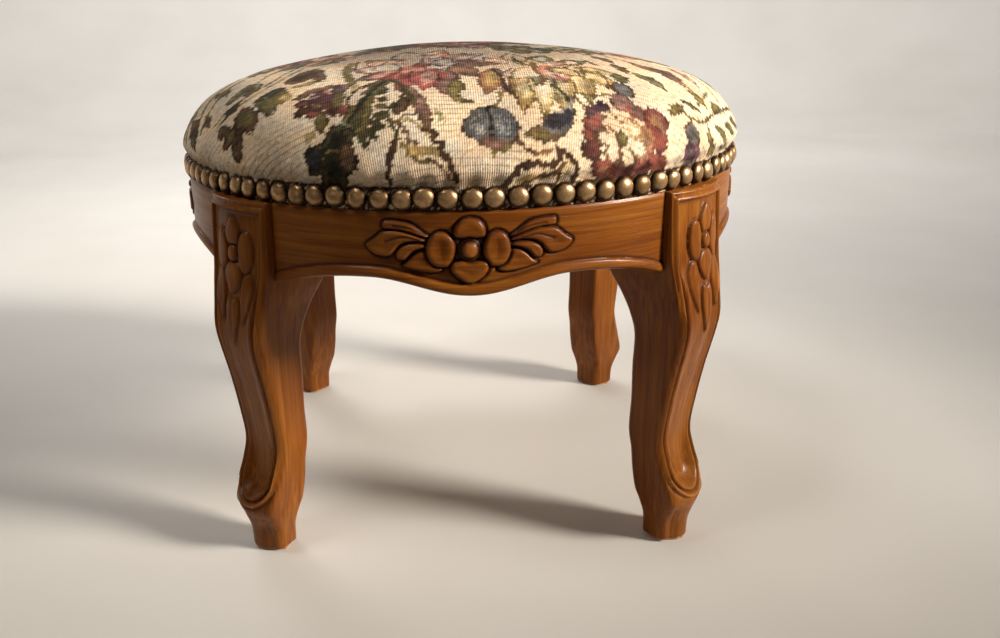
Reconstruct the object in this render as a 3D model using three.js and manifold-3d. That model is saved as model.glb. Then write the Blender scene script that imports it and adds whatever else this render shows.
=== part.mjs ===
// A round upholstered footstool: four cabriole legs dowelled to four curved aprons,
// a plywood seat board with a foam pad and a tapestry cover, and a row of dome nails.
// Millimetres, +Z up, origin on the floor under the middle of the seat, front towards -Y.
import * as THREE from 'three';
import { mergeVertices } from 'three/addons/utils/BufferGeometryUtils.js';
import Module from 'manifold-3d';

const wasm = await Module();
wasm.setup();

// Fits
const clearance = 0.3;
const overrun = 1;

// Round frame: the ledge is the top of the show wood, and the rebate above it takes the cover
const frameRadius = 164;
const ledgeHeight = 203;
const railThickness = 22;
const rebateHeight = 18;
const rebateDepth = 2.4;

// Apron's wavy lower edge: its two peaks below the ledge, then the drops from them
const apronWaist = 32.8;
const apronMiddleDrop = 8.5;
const apronEndDrop = 9.2;
const apronPeakShare = 0.48;
const apronFallPower = 2.2;
const beadHeight = 6;
const beadProud = 1.4;
const apronColumns = 22;

// Legs
const postWidth = 47.5;
const postDepth = 38;
const legSweep = 10;
const legRound = 4;
const legCrown = 3;
const quarterTurn = Math.PI / 2;
const legSetting = Math.PI / 4;

// Carving: how far each form stands out of the face, and how deep its root goes into it
const petalRise = 1.7;
const buttonRise = 2.3;
const leafRise = 1.3;
const carvingRoot = 2.5;
const buttonSides = 8;

// Sunk panel on the face of each post, with the knee's flower below its top
const panelInset = 4.4;
const panelDepth = 1.3;
const panelTopDrop = 5.6;
const kneeFlowerDrop = 27.8;

// Glides under the feet
const glideThickness = 1.2;
const glideInset = 0.8;

// Dowels
const dowelRadius = 4;
const dowelRailDepth = 15;
const dowelWeb = 17.5;
const dowelEdge = 18.5;
const dowelSides = 10;

// Corner blocks
const blockHeight = 40;
const blockNeck = 14;
const blockElbow = 31;
const wingScrewOffset = 22.5;
const wingSpan = 40.5;
const blockArcSteps = 4;

// Screws
const screwRadius = 1.9;
const screwHeadRadius = 3.6;
const screwHeadHeight = 2.2;
const screwTip = 4;
const screwSides = 10;
const railBite = 12;
const boardBite = 6.5;

// Seat board, pad and cover
const boardThickness = 9;
const boardMargin = 1;
const cushionRise = 50.5;
const cushionBulge = 3;
const coverThickness = 1;
const roundSides = 60;

// Dome nails
const nailDiameter = 11;
const nailPitch = 10.95;
const nailDome = 3.5;
const nailWaist = 0.9;

// Worked-out places that several pieces share
const postHalf = postWidth / 2;
const railTopHeight = ledgeHeight + rebateHeight;
const apronPeakHeight = ledgeHeight - apronWaist;
const apronMiddleHeight = apronPeakHeight - apronMiddleDrop;
const apronEndHeight = apronPeakHeight - apronEndDrop;
const railInnerRadius = frameRadius - railThickness;
const rebateRadius = frameRadius - rebateDepth;
const postInner = frameRadius - postDepth;
const legBase = glideThickness + clearance;
const boardBase = railTopHeight + clearance;
const coverHem = ledgeHeight + clearance;
const skirtInnerRadius = rebateRadius + clearance;
const skirtOuterRadius = skirtInnerRadius + coverThickness;
const nailHeight = ledgeHeight + clearance + nailDiameter / 2;
const blockBase = railTopHeight - blockHeight;
const blockFace = postInner - clearance - blockNeck;
const wingAngle = Math.asin((postHalf + wingScrewOffset) / railInnerRadius);
const wingEndAngle = Math.asin((postHalf + wingSpan) / railInnerRadius);
const wingFace = blockFace * Math.cos(wingAngle) + blockElbow * Math.sin(wingAngle);

const corners = ['front_left', 'front_right', 'back_right', 'back_left'];
const cornerAngles = corners.map((name, i) => -quarterTurn - legSetting + i * quarterTurn);
const rails = ['front', 'right', 'back', 'left'];
const railAngles = rails.map((name, i) => -quarterTurn + i * quarterTurn);

// Materials
const beech = { color: 0x8a4f20, roughness: 0.35, metalness: 0 };
const palePly = { color: 0xb98d5a, roughness: 0.7, metalness: 0 };
const dowelWood = { color: 0xc9a26b, roughness: 0.7, metalness: 0 };
const steel = { color: 0x9a9a98, roughness: 0.4, metalness: 1 };
const foam = { color: 0xd9cfa8, roughness: 0.95, metalness: 0 };
const tapestry = { color: 0xc9b79a, roughness: 0.95, metalness: 0 };
const antiqueBrass = { color: 0x7d6232, roughness: 0.35, metalness: 1 };
const glideNylon = { color: 0xb9a27c, roughness: 0.5, metalness: 0 };

function named(name, geometry, look) {
  const mesh = new THREE.Mesh(geometry, new THREE.MeshStandardMaterial(look));
  mesh.name = name;
  return mesh;
}

// Closed body through rings of points, with flat ends or joined end to start
function loft(rings, joined = false) {
  const count = rings[0].length;
  const positions = rings.flat().flatMap((p) => [p.x, p.y, p.z]);
  const index = [];
  const last = joined ? rings.length : rings.length - 1;
  for (let i = 0; i < last; i += 1) {
    const next = (i + 1) % rings.length;
    for (let j = 0; j < count; j += 1) {
      const k = (j + 1) % count;
      const [a, b, c, d] = [i * count + j, i * count + k, next * count + k, next * count + j];
      index.push(a, b, c, a, c, d);
    }
  }
  if (!joined) {
    const lid = ringLid(rings[0]);
    lid.forEach(([a, b, c]) => index.push(a, c, b));
    const base = (rings.length - 1) * count;
    ringLid(rings[rings.length - 1]).forEach(([a, b, c]) => index.push(base + a, base + b, base + c));
  }
  return outwardGeometry(positions, index);
}

// Triangles that fill a flat ring, wound the way the ring runs
function ringLid(ring) {
  const normal = new THREE.Vector3();
  ring.forEach((p, i) => normal.add(p.clone().cross(ring[(i + 1) % ring.length])));
  normal.normalize();
  const across = ring[1].clone().sub(ring[0]).normalize();
  const up = normal.clone().cross(across);
  const flat = ring.map((p) => new THREE.Vector2(p.dot(across), p.dot(up)));
  return THREE.ShapeUtils.triangulateShape(flat, []).map(([a, b, c]) => {
    const turn = flat[b].clone().sub(flat[a]).cross(flat[c].clone().sub(flat[a]));
    return turn > 0 ? [a, b, c] : [a, c, b];
  });
}

function outwardGeometry(positions, index) {
  const point = (i) => new THREE.Vector3().fromArray(positions, i * 3);
  let volume = 0;
  for (let i = 0; i < index.length; i += 3) {
    const [a, b, c] = [point(index[i]), point(index[i + 1]), point(index[i + 2])];
    volume += a.dot(b.cross(c));
  }
  const facing = [];
  for (let i = 0; i < index.length; i += 3) {
    const [a, b, c] = [index[i], index[i + 1], index[i + 2]];
    facing.push(a, volume > 0 ? b : c, volume > 0 ? c : b);
  }
  const geometry = new THREE.BufferGeometry();
  geometry.setAttribute('position', new THREE.Float32BufferAttribute(positions, 3));
  geometry.setIndex(facing);
  return welded(geometry);
}

// One shared vertex for each place, without the triangles that shrink to a line
function welded(geometry) {
  const bare = geometry.clone();
  bare.deleteAttribute('normal');
  bare.deleteAttribute('uv');
  const merged = mergeVertices(bare, clearance / 100);
  const kept = [];
  const index = merged.index.array;
  for (let i = 0; i < index.length; i += 3) {
    const [a, b, c] = [index[i], index[i + 1], index[i + 2]];
    if (a !== b && b !== c && c !== a) kept.push(a, b, c);
  }
  merged.setIndex(kept);
  merged.computeVertexNormals();
  return merged;
}

function toSolid(geometry) {
  const bare = welded(geometry);
  bare.deleteAttribute('normal');
  const vertProperties = new Float32Array(bare.attributes.position.array);
  const triVerts = new Uint32Array(bare.index.array);
  return new wasm.Manifold(new wasm.Mesh({ numProp: 3, vertProperties, triVerts }));
}

// A blank with pieces cut out of it, then forms left standing on it, then holes drilled
function carved(geometry, hollows, forms, holes) {
  const cut = (solid, cutters) => cutters.reduce((rest, c) => rest.subtract(toSolid(c)), solid);
  const sunk = cut(toSolid(geometry), hollows);
  const raised = forms.reduce((whole, form) => whole.add(toSolid(form)), sunk);
  const mesh = cut(raised, holes).getMesh();
  const result = new THREE.BufferGeometry();
  result.setAttribute('position', new THREE.Float32BufferAttribute(mesh.vertProperties, 3));
  result.setIndex(Array.from(mesh.triVerts));
  result.computeVertexNormals();
  return result;
}

const drilled = (geometry, holes) => carved(geometry, [], [], holes);

// A turned body whose profile of (radius, height) pairs is spun round the upright axis
function turned(profile, sides) {
  const points = profile.map(([radius, height]) => new THREE.Vector2(radius, height));
  const lathe = new THREE.LatheGeometry(points, sides).rotateX(quarterTurn);
  const solid = welded(lathe);
  return outwardGeometry(Array.from(solid.attributes.position.array), Array.from(solid.index.array));
}

const polar = (radius, angle, height) =>
  new THREE.Vector3(radius * Math.cos(angle), radius * Math.sin(angle), height);

// Outlines of the carved flower and of its leaves, across and up from its middle as shares of
// its radius. The petals on its axis are given by their right half.
const topPetalShares = [[0, 0.34], [0.42, 0.4], [0.47, 0.66], [0.28, 0.9], [0, 0.98]];
const footPetalShares = [[0, -0.38], [0.5, -0.36], [0.54, -0.62], [0.28, -0.88], [0, -1.06]];
const sidePetalShares = [
  [0.5, 0.38], [0.76, 0.52], [1.04, 0.4], [1.17, 0.08], [1.12, -0.26], [0.88, -0.48], [0.6, -0.44],
  [0.42, -0.1],
];
const apronLeafShares = [
  [[1.06, 0.32], [1.4, 0.58], [2, 0.85], [2.42, 0.87], [2.5, 0.72], [2.1, 0.56], [1.5, 0.42]],
  [[1.1, 0.22], [1.9, 0.52], [2.45, 0.52], [2.8, 0.32], [3, 0.12], [2.65, -0.2], [2.25, -0.2],
    [1.95, 0.12], [1.6, 0.2]],
  [[0.8, -0.52], [1, -0.2], [1.5, -0.02], [1.95, 0.04], [2.1, -0.16], [1.95, -0.45], [1.5, -0.62],
    [1, -0.68]],
];
const kneeLeafShares = [[0.3, -0.98], [0.6, -0.92], [0.92, -0.8], [1.04, -1], [0.98, -1.45],
  [0.72, -1.8], [0.48, -1.8], [0.34, -1.45]];
const dartShares = [[0, -1.16], [0.16, -1.5], [0.16, -2], [0, -2.9]];
const buttonShare = 0.27;

// A lobe's outline runs at a share of its rise, and its flat crown is a share of the outline
const lobeShoulderShare = 0.5;
const lobeCrownShare = 0.65;

const mirrored = (outline) => outline.map(([x, y]) => [-x, y]);
const wholeOutline = (half) => [...half, ...mirrored(half.slice(1, -1)).reverse()];

// One carved lobe. The place function takes it to its piece of wood, across, up and outwards
function lobe(outline, rise, place) {
  const middle = [0, 1].map((i) => outline.reduce((sum, p) => sum + p[i], 0) / outline.length);
  const ring = (size, out) => outline.map((p) => {
    const [x, y] = middle.map((m, i) => THREE.MathUtils.lerp(m, p[i], size));
    return place(x, y, out);
  });
  return loft([
    ring(1, -carvingRoot),
    ring(1, rise * lobeShoulderShare),
    ring(lobeCrownShare, rise),
  ]);
}

function flower(place) {
  const button = Array.from({ length: buttonSides }, (v, i) => {
    const angle = (2 * Math.PI * i) / buttonSides;
    return [buttonShare * Math.cos(angle), buttonShare * Math.sin(angle)];
  });
  const petals = [wholeOutline(topPetalShares), wholeOutline(footPetalShares), sidePetalShares,
    mirrored(sidePetalShares)];
  return [...petals.map((petal) => lobe(petal, petalRise, place)), lobe(button, buttonRise, place)];
}

const leafPair = (leaf, place) =>
  [leaf, mirrored(leaf)].map((outline) => lobe(outline, leafRise, place));

// Height of the apron's lower edge at a share of the way from its middle to its end
function apronEdge(share) {
  const s = Math.abs(share);
  if (s < apronPeakShare) {
    const swell = (1 - Math.cos((Math.PI * s) / apronPeakShare)) / 2;
    return apronMiddleHeight + (apronPeakHeight - apronMiddleHeight) * swell;
  }
  const fall = ((s - apronPeakShare) / (1 - apronPeakShare)) ** apronFallPower;
  return apronPeakHeight - (apronPeakHeight - apronEndHeight) * fall;
}

// Half the angle that a rail spans at a radius, up to the flat side of the leg's post
const railHalfAngle = (radius) => legSetting - Math.asin((postHalf + clearance) / radius);

// Section of the apron, with a bead along its lower edge and the rebate for the cover
function apronSection(edge) {
  return [
    [railInnerRadius, edge],
    [frameRadius - beadProud, edge],
    [frameRadius + beadProud, edge + beadHeight / 2],
    [frameRadius, edge + beadHeight],
    [frameRadius, ledgeHeight],
    [rebateRadius, ledgeHeight],
    [rebateRadius, railTopHeight],
    [railInnerRadius, railTopHeight],
  ];
}

function apronBlank() {
  const rings = [];
  for (let i = 0; i <= apronColumns; i += 1) {
    const share = (2 * i) / apronColumns - 1;
    const section = apronSection(apronEdge(share));
    rings.push(section.map(([r, z]) => polar(r, share * railHalfAngle(r), z)));
  }
  return loft(rings);
}

// The apron's flower fills the face over the bead at its middle, with leaves on both sides
const apronFlowerShare = 0.453;
const apronFaceBase = apronMiddleHeight + beadHeight;
const apronFlowerRadius = apronFlowerShare * (ledgeHeight - apronFaceBase);

function apronCarving() {
  const middle = apronFaceBase - footPetalShares.at(-1)[1] * apronFlowerRadius;
  const place = (x, y, out) => polar(frameRadius + out, (x * apronFlowerRadius) / frameRadius,
    middle + y * apronFlowerRadius);
  return [...flower(place), ...apronLeafShares.flatMap((leaf) => leafPair(leaf, place))];
}

// A round bar along a direction, from one distance to another
function bar(radius, sides, from, to, direction, through) {
  const geometry = new THREE.CylinderGeometry(radius, radius, to - from, sides);
  geometry.translate(0, (from + to) / 2, 0);
  const turn = new THREE.Quaternion().setFromUnitVectors(new THREE.Vector3(0, 1, 0), direction);
  return geometry.applyQuaternion(turn).translate(through.x, through.y, through.z);
}

// Dowels cross the joint between a post's flat side and the end of a rail
const dowelReach = Math.sqrt((frameRadius - railThickness / 2) ** 2 - postHalf ** 2);
const dowelHeights = [apronEndHeight + dowelEdge, railTopHeight - dowelEdge];

function dowelBar(side, height, radius, spare) {
  const from = dowelWeb / 2 - spare;
  const to = postHalf + clearance + dowelRailDepth + spare;
  const through = new THREE.Vector3(dowelReach, 0, height);
  return bar(radius, dowelSides, from, to, new THREE.Vector3(0, side, 0), through);
}

function dowelHoles() {
  const holes = [];
  for (const side of [-1, 1]) {
    for (const height of dowelHeights) {
      holes.push(dowelBar(side, height, dowelRadius + clearance, clearance));
    }
  }
  return holes;
}

// Screws run outwards from the wings of a corner block into the rails
const wingScrewHeight = blockBase + blockHeight / 2;
const wingScrewLength = railInnerRadius + railBite - wingFace;
const boardScrewLength = boardBase + boardBite - blockBase;
const boardScrewReach = blockFace + blockNeck / 2;

const wingDirection = (side) => polar(1, side * wingAngle, 0);

function wingScrewHole(side) {
  const from = wingFace - overrun;
  const to = wingFace + wingScrewLength + clearance;
  const through = new THREE.Vector3(0, 0, wingScrewHeight);
  return bar(screwRadius + clearance, screwSides, from, to, wingDirection(side), through);
}

function boardScrewHole() {
  const from = blockBase - overrun;
  const to = blockBase + boardScrewLength + clearance;
  const through = new THREE.Vector3(boardScrewReach, 0, 0);
  return bar(screwRadius + clearance, screwSides, from, to, new THREE.Vector3(0, 0, 1), through);
}

function apron() {
  const cutters = [];
  for (const side of [-1, 1]) {
    const toLeg = side * legSetting;
    dowelHoles().forEach((hole) => cutters.push(hole.rotateZ(toLeg)));
    cutters.push(wingScrewHole(-side).rotateZ(toLeg));
  }
  return carved(apronBlank(), [], apronCarving(), cutters);
}

// Stations up the leg: height as a share of the way to the apron's peak, reach of the outer
// corners beyond the frame as a share of legSweep, depth as a share of postDepth, outer and inner
// half-widths as shares of half the post, and the round and crown of the face as shares of theirs
const legStationShares = [
  [0.0, 0.44, 0.47, 0.57, 0.46, 1.3, 1.5],
  [0.066, 0.49, 0.49, 0.59, 0.48, 1.3, 1.5],
  [0.119, 0.8, 0.63, 0.65, 0.52, 1.1, 1.3],
  [0.161, 1.02, 0.75, 0.7, 0.54, 0.8, 1.0],
  [0.233, 0.6, 0.7, 0.73, 0.56, 0.9, 0.8],
  [0.299, 0.19, 0.63, 0.74, 0.56, 1.0, 0.6],
  [0.37, -0.06, 0.62, 0.74, 0.56, 1.0, 0.6],
  [0.478, 0.15, 0.66, 0.76, 0.56, 1.0, 0.6],
  [0.597, 0.5, 0.76, 0.78, 0.56, 1.0, 0.7],
  [0.705, 0.9, 0.85, 0.81, 0.58, 1.0, 0.8],
  [0.776, 1.05, 0.96, 0.84, 0.62, 0.9, 0.8],
  [0.848, 0.98, 1.04, 0.89, 0.7, 0.7, 0.8],
  [0.92, 0.82, 1.1, 0.95, 0.88, 0.5, 0.7],
];

// The post's face reaches out at the apron's peak and less at the ledge, as shares of legSweep
const postPeakShare = 0.68;
const postLedgeShare = 0.48;
const postRoundShare = 0.3;
const postCrownShare = 0.6;

// Where the crowned face bends, as shares of its flat width and of its crown
const faceBendShare = 0.55;
const crownBendShare = 0.7;

// One closed outline across the leg: the crowned outer face, then the narrower inner one
function legSection(height, outer, inner, outerHalf, innerHalf, round, crown) {
  const flat = outerHalf - round;
  const half = [
    [outer + crown, 0],
    [outer + crown * crownBendShare, flat * faceBendShare],
    [outer, flat],
    [outer - round, outerHalf],
    [inner + round, innerHalf],
    [inner, innerHalf - round],
  ];
  const mirrored = half.slice(1).reverse().map(([u, v]) => [u, -v]);
  return [...half, ...mirrored].map(([u, v]) => new THREE.Vector3(u, v, height));
}

// The stations as sizes, then the post at the apron's peak and at the ledge
const legStations = legStationShares.map(([rise, reach, depth, outerHalf, innerHalf, ...face]) => {
  const height = legBase + rise * (apronPeakHeight - legBase);
  const outer = frameRadius + reach * legSweep;
  const [round, crown] = [face[0] * legRound, face[1] * legCrown];
  return [height, outer, outer - depth * postDepth, outerHalf * postHalf, innerHalf * postHalf,
    round, crown];
});
for (const [height, reach] of [[apronPeakHeight, postPeakShare], [ledgeHeight, postLedgeShare]]) {
  legStations.push([height, frameRadius + reach * legSweep, postInner, postHalf, postHalf,
    postRoundShare * legRound, postCrownShare * legCrown]);
}

function legBlank() {
  const rings = legStations.map((station) => legSection(...station));
  const reach = Math.sqrt(rebateRadius ** 2 - postHalf ** 2);
  for (const height of [ledgeHeight, railTopHeight]) {
    rings.push(legSection(height, reach, postInner, postHalf, postHalf, clearance,
      rebateRadius - reach));
  }
  return loft(rings);
}

// The leg's sizes at a height, between the stations below and above it
function legSizes(height) {
  const above = legStations.findIndex((station) => station[0] >= height);
  const [below, next] = [legStations[above - 1], legStations[above]];
  return below.map((size, i) => THREE.MathUtils.mapLinear(height, below[0], next[0], size, next[i]));
}

// How far out the crowned face lies at a place on it
function faceReach(side, height) {
  const [, outer, , outerHalf, , round, crown] = legSizes(height);
  const share = Math.min(Math.abs(side) / (outerHalf - round), 1);
  const bend = share < faceBendShare
    ? THREE.MathUtils.mapLinear(share, 0, faceBendShare, 1, crownBendShare)
    : THREE.MathUtils.mapLinear(share, faceBendShare, 1, crownBendShare, 0);
  return outer + crown * bend;
}

// The sunk panel on the post's face, which runs out on the knee
function panelHollow() {
  const heights = legStations.slice(-4, -1).map((station) => station[0]);
  const depths = [-clearance, panelDepth, panelDepth, panelDepth];
  return loft([...heights, ledgeHeight - panelTopDrop].map((height, i) => {
    const half = legSizes(height)[3] - panelInset;
    const floor = [-1, -faceBendShare, 0, faceBendShare, 1].map((share) => share * half);
    const far = faceReach(0, height) + legSweep;
    return [
      ...floor.map((side) => new THREE.Vector3(faceReach(side, height) - depths[i], side, height)),
      new THREE.Vector3(far, half, height),
      new THREE.Vector3(far, -half, height),
    ];
  }));
}

// The knee's flower is a share of the panel's half-width, over two leaves and a dart
const kneeFlowerShare = 0.9;
const kneeFlowerRadius = kneeFlowerShare * (postHalf - panelInset);

function kneeCarving() {
  const place = (x, y, out) => {
    const [side, height] = [x * kneeFlowerRadius, ledgeHeight - kneeFlowerDrop + y * kneeFlowerRadius];
    return new THREE.Vector3(faceReach(side, height) + out, side, height);
  };
  return [...flower(place), ...leafPair(kneeLeafShares, place),
    lobe(wholeOutline(dartShares), leafRise, place)];
}

const leg = () => carved(legBlank(), [panelHollow()], kneeCarving(), dowelHoles());

function glide() {
  const [, reach, depth, outerHalf, innerHalf, round, crown] = legStationShares[0];
  const outer = frameRadius + reach * legSweep - glideInset;
  const inner = frameRadius + reach * legSweep - depth * postDepth + glideInset;
  const ring = (height) => legSection(height, outer, inner, outerHalf * postHalf - glideInset,
    innerHalf * postHalf - glideInset, round * legRound, crown * legCrown);
  return loft([ring(0), ring(glideThickness)]);
}

// Corner block: notched over the post, with wings that lie against the rails
function cornerBlock() {
  const outer = railInnerRadius - clearance;
  const side = postHalf + clearance;
  const half = [new THREE.Vector2(postInner - clearance, side)];
  const start = Math.asin(side / outer);
  for (let i = 0; i <= blockArcSteps; i += 1) {
    const angle = start + ((wingEndAngle - start) * i) / blockArcSteps;
    half.push(new THREE.Vector2(outer * Math.cos(angle), outer * Math.sin(angle)));
  }
  const wingEnd = wingFace / Math.cos(wingEndAngle - wingAngle);
  half.push(new THREE.Vector2(wingEnd * Math.cos(wingEndAngle), wingEnd * Math.sin(wingEndAngle)));
  half.push(new THREE.Vector2(blockFace, blockElbow));
  const mirrored = [...half].reverse().map((p) => new THREE.Vector2(p.x, -p.y));
  const ring = (z) => [...half, ...mirrored].map((p) => new THREE.Vector3(p.x, p.y, z));
  const blank = loft([ring(blockBase), ring(railTopHeight)]);
  return drilled(blank, [wingScrewHole(-1), wingScrewHole(1), boardScrewHole()]);
}

// Pan-head screw along +Z with the underside of its head at zero
function screw(length) {
  const profile = [
    [0, -screwHeadHeight],
    [screwHeadRadius, -screwHeadHeight / 3],
    [screwHeadRadius, 0],
    [screwRadius, 0],
    [screwRadius, length - screwTip],
    [0, length],
  ];
  return turned(profile, screwSides);
}

// Outer line of the cushion, as shares of its radius and of its rise above the rails
const cushionRadius = skirtOuterRadius + cushionBulge;
const cushionShares = [
  [0, 1],
  [0.3, 0.95],
  [0.57, 0.828],
  [0.73, 0.72],
  [0.82, 0.624],
  [0.895, 0.491],
  [0.945, 0.343],
  [0.98, 0.178],
  [1, 0],
];
const cushionLine = [
  ...cushionShares.map(([r, z]) =>
    new THREE.Vector2(r * cushionRadius, railTopHeight + z * cushionRise)),
  new THREE.Vector2(skirtOuterRadius, nailHeight + nailDiameter / 2),
  new THREE.Vector2(skirtOuterRadius, coverHem),
];

// The same line moved inwards by a distance, square to itself at each point
function insetLine(line, distance) {
  return line.map((p, i) => {
    const before = line[Math.max(i - 1, 0)];
    const after = line[Math.min(i + 1, line.length - 1)];
    const along = after.clone().sub(before).normalize();
    if (i === 0) return new THREE.Vector2(0, p.y - distance);
    return new THREE.Vector2(p.x + along.y * distance, p.y - along.x * distance);
  });
}

// Radius of a line at a height, between the two points on either side of it
function radiusAt(line, height) {
  const i = line.findIndex((p) => p.y < height);
  const [above, below] = [line[i - 1], line[i]];
  return THREE.MathUtils.mapLinear(height, above.y, below.y, above.x, below.x);
}

function cover() {
  const outside = cushionLine.map((p) => [p.x, p.y]);
  const inside = insetLine(cushionLine, coverThickness).map((p) => [p.x, p.y]).reverse();
  inside[0][1] = coverHem;
  return turned([...outside, ...inside], roundSides);
}

function pad() {
  const base = boardBase + boardThickness + clearance;
  const line = insetLine(cushionLine, coverThickness + clearance);
  const crown = line.filter((p) => p.y > base).map((p) => [p.x, p.y]);
  return turned([...crown, [radiusAt(line, base), base], [0, base]], roundSides);
}

function seatBoard() {
  const boardTop = boardBase + boardThickness;
  const boardRadius = radiusAt(insetLine(cushionLine, coverThickness), boardTop) - boardMargin;
  const geometry = turned([
    [0, boardBase],
    [boardRadius, boardBase],
    [boardRadius, boardTop],
    [0, boardTop],
  ], roundSides);
  return drilled(geometry, cornerAngles.map((angle) => boardScrewHole().rotateZ(angle)));
}

// Row of dome nails as one closed ring: columns at each gap and on each head's shoulders
function nailRow() {
  const backRadius = skirtOuterRadius + clearance;
  const count = Math.round((2 * Math.PI * backRadius) / nailPitch);
  const half = nailDiameter / 2;
  const columnShares = [[0, nailWaist], [0.26, nailDome], [0.74, nailDome]];
  const rings = [];
  for (let i = 0; i < count; i += 1) {
    for (const [share, height] of columnShares) {
      const angle = ((i + share) / count) * 2 * Math.PI;
      rings.push([
        polar(backRadius, angle, nailHeight - half),
        polar(backRadius + height, angle, nailHeight - half / 2),
        polar(backRadius + height, angle, nailHeight + half / 2),
        polar(backRadius, angle, nailHeight + half),
      ]);
    }
  }
  return loft(rings, true);
}

const footstool = new THREE.Group();

corners.forEach((corner, i) => {
  const place = new THREE.Group();
  place.rotation.z = cornerAngles[i];
  place.add(named(`leg_${corner}`, leg(), beech));
  place.add(named(`glide_${corner}`, glide(), glideNylon));
  place.add(named(`corner_block_${corner}`, cornerBlock(), palePly));
  for (const [side, hand] of [[-1, 'left'], [1, 'right']]) {
    const [lower, upper] = dowelHeights.map((height) => dowelBar(side, height, dowelRadius, 0));
    place.add(named(`dowel_${corner}_${hand}_lower`, lower, dowelWood));
    place.add(named(`dowel_${corner}_${hand}_upper`, upper, dowelWood));
    const wingScrew = named(`block_screw_${corner}_${hand}`, screw(wingScrewLength), steel);
    wingScrew.position.set(wingFace * Math.cos(wingAngle), side * wingFace * Math.sin(wingAngle),
      wingScrewHeight);
    wingScrew.rotation.set(0, quarterTurn, side * wingAngle, 'ZYX');
    place.add(wingScrew);
  }
  const boardScrew = named(`board_screw_${corner}`, screw(boardScrewLength), steel);
  boardScrew.position.set(boardScrewReach, 0, blockBase);
  place.add(boardScrew);
  footstool.add(place);
});

rails.forEach((rail, i) => {
  const piece = named(`apron_${rail}`, apron(), beech);
  piece.rotation.z = railAngles[i];
  footstool.add(piece);
});

footstool.add(named('seat_board', seatBoard(), palePly));
footstool.add(named('seat_pad', pad(), foam));
footstool.add(named('tapestry_cover', cover(), tapestry));
footstool.add(named('nail_row', nailRow(), antiqueBrass));

export default footstool;
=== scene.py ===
# Looks of a round upholstered footstool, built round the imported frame: four carved legs, four
# carved aprons, the tapestry cushion and its dome nails. Shapes are worked out in millimetres.
import bpy
import numpy as np
from mathutils import Matrix, Vector


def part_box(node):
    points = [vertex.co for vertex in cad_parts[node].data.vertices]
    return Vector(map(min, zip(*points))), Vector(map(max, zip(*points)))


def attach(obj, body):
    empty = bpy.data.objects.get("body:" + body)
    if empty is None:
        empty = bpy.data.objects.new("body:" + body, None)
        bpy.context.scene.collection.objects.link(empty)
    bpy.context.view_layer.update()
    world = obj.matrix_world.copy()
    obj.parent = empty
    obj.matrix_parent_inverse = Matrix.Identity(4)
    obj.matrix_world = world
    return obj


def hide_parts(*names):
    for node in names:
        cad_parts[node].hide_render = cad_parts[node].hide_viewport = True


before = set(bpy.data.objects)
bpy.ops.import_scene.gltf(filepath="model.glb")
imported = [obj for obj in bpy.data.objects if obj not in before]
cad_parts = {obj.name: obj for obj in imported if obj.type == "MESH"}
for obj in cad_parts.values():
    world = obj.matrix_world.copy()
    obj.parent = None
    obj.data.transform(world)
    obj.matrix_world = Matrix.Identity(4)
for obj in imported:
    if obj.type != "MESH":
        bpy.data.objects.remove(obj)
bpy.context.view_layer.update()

MM = 0.001


def low(node):
    """Height of a node's underside, in millimetres."""
    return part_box(node)[0].z / MM


def high(node):
    """Height of a node's top, in millimetres."""
    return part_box(node)[1].z / MM


def add_object(name, data):
    obj = bpy.data.objects.new(name, data)
    bpy.context.scene.collection.objects.link(obj)
    return obj


# Camera: the photograph's view, with its optical axis off the middle of the frame
IMAGE_WIDTH = 1000
IMAGE_HEIGHT = 638
CAMERA_PLACE = (-24.9, -587.5, 295.7)
CAMERA_HEADING = -0.0083
CAMERA_DIP = 0.3234
CAMERA_TILT = -0.0287
FOCAL_PIXELS = 931.4
AXIS_PIXEL = (413.5, 313.8)
SENSOR = 36


def make_camera():
    data = bpy.data.cameras.new("camera")
    data.sensor_width = SENSOR
    data.lens = FOCAL_PIXELS / IMAGE_WIDTH * SENSOR
    data.shift_x = (IMAGE_WIDTH / 2 - AXIS_PIXEL[0]) / IMAGE_WIDTH
    data.shift_y = (AXIS_PIXEL[1] - IMAGE_HEIGHT / 2) / IMAGE_WIDTH
    heading = Vector((np.sin(CAMERA_HEADING), np.cos(CAMERA_HEADING), 0))
    level = Vector((heading.y, -heading.x, 0))
    forward = heading * np.cos(CAMERA_DIP) - Vector((0, 0, np.sin(CAMERA_DIP)))
    upward = level.cross(forward)
    right = level * np.cos(CAMERA_TILT) + upward * np.sin(CAMERA_TILT)
    turn = Matrix((right, right.cross(forward), -forward)).transposed().to_4x4()
    camera = add_object("camera", data)
    camera.matrix_world = Matrix.Translation(Vector(CAMERA_PLACE) * MM) @ turn
    bpy.context.scene.camera = camera


make_camera()


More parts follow.
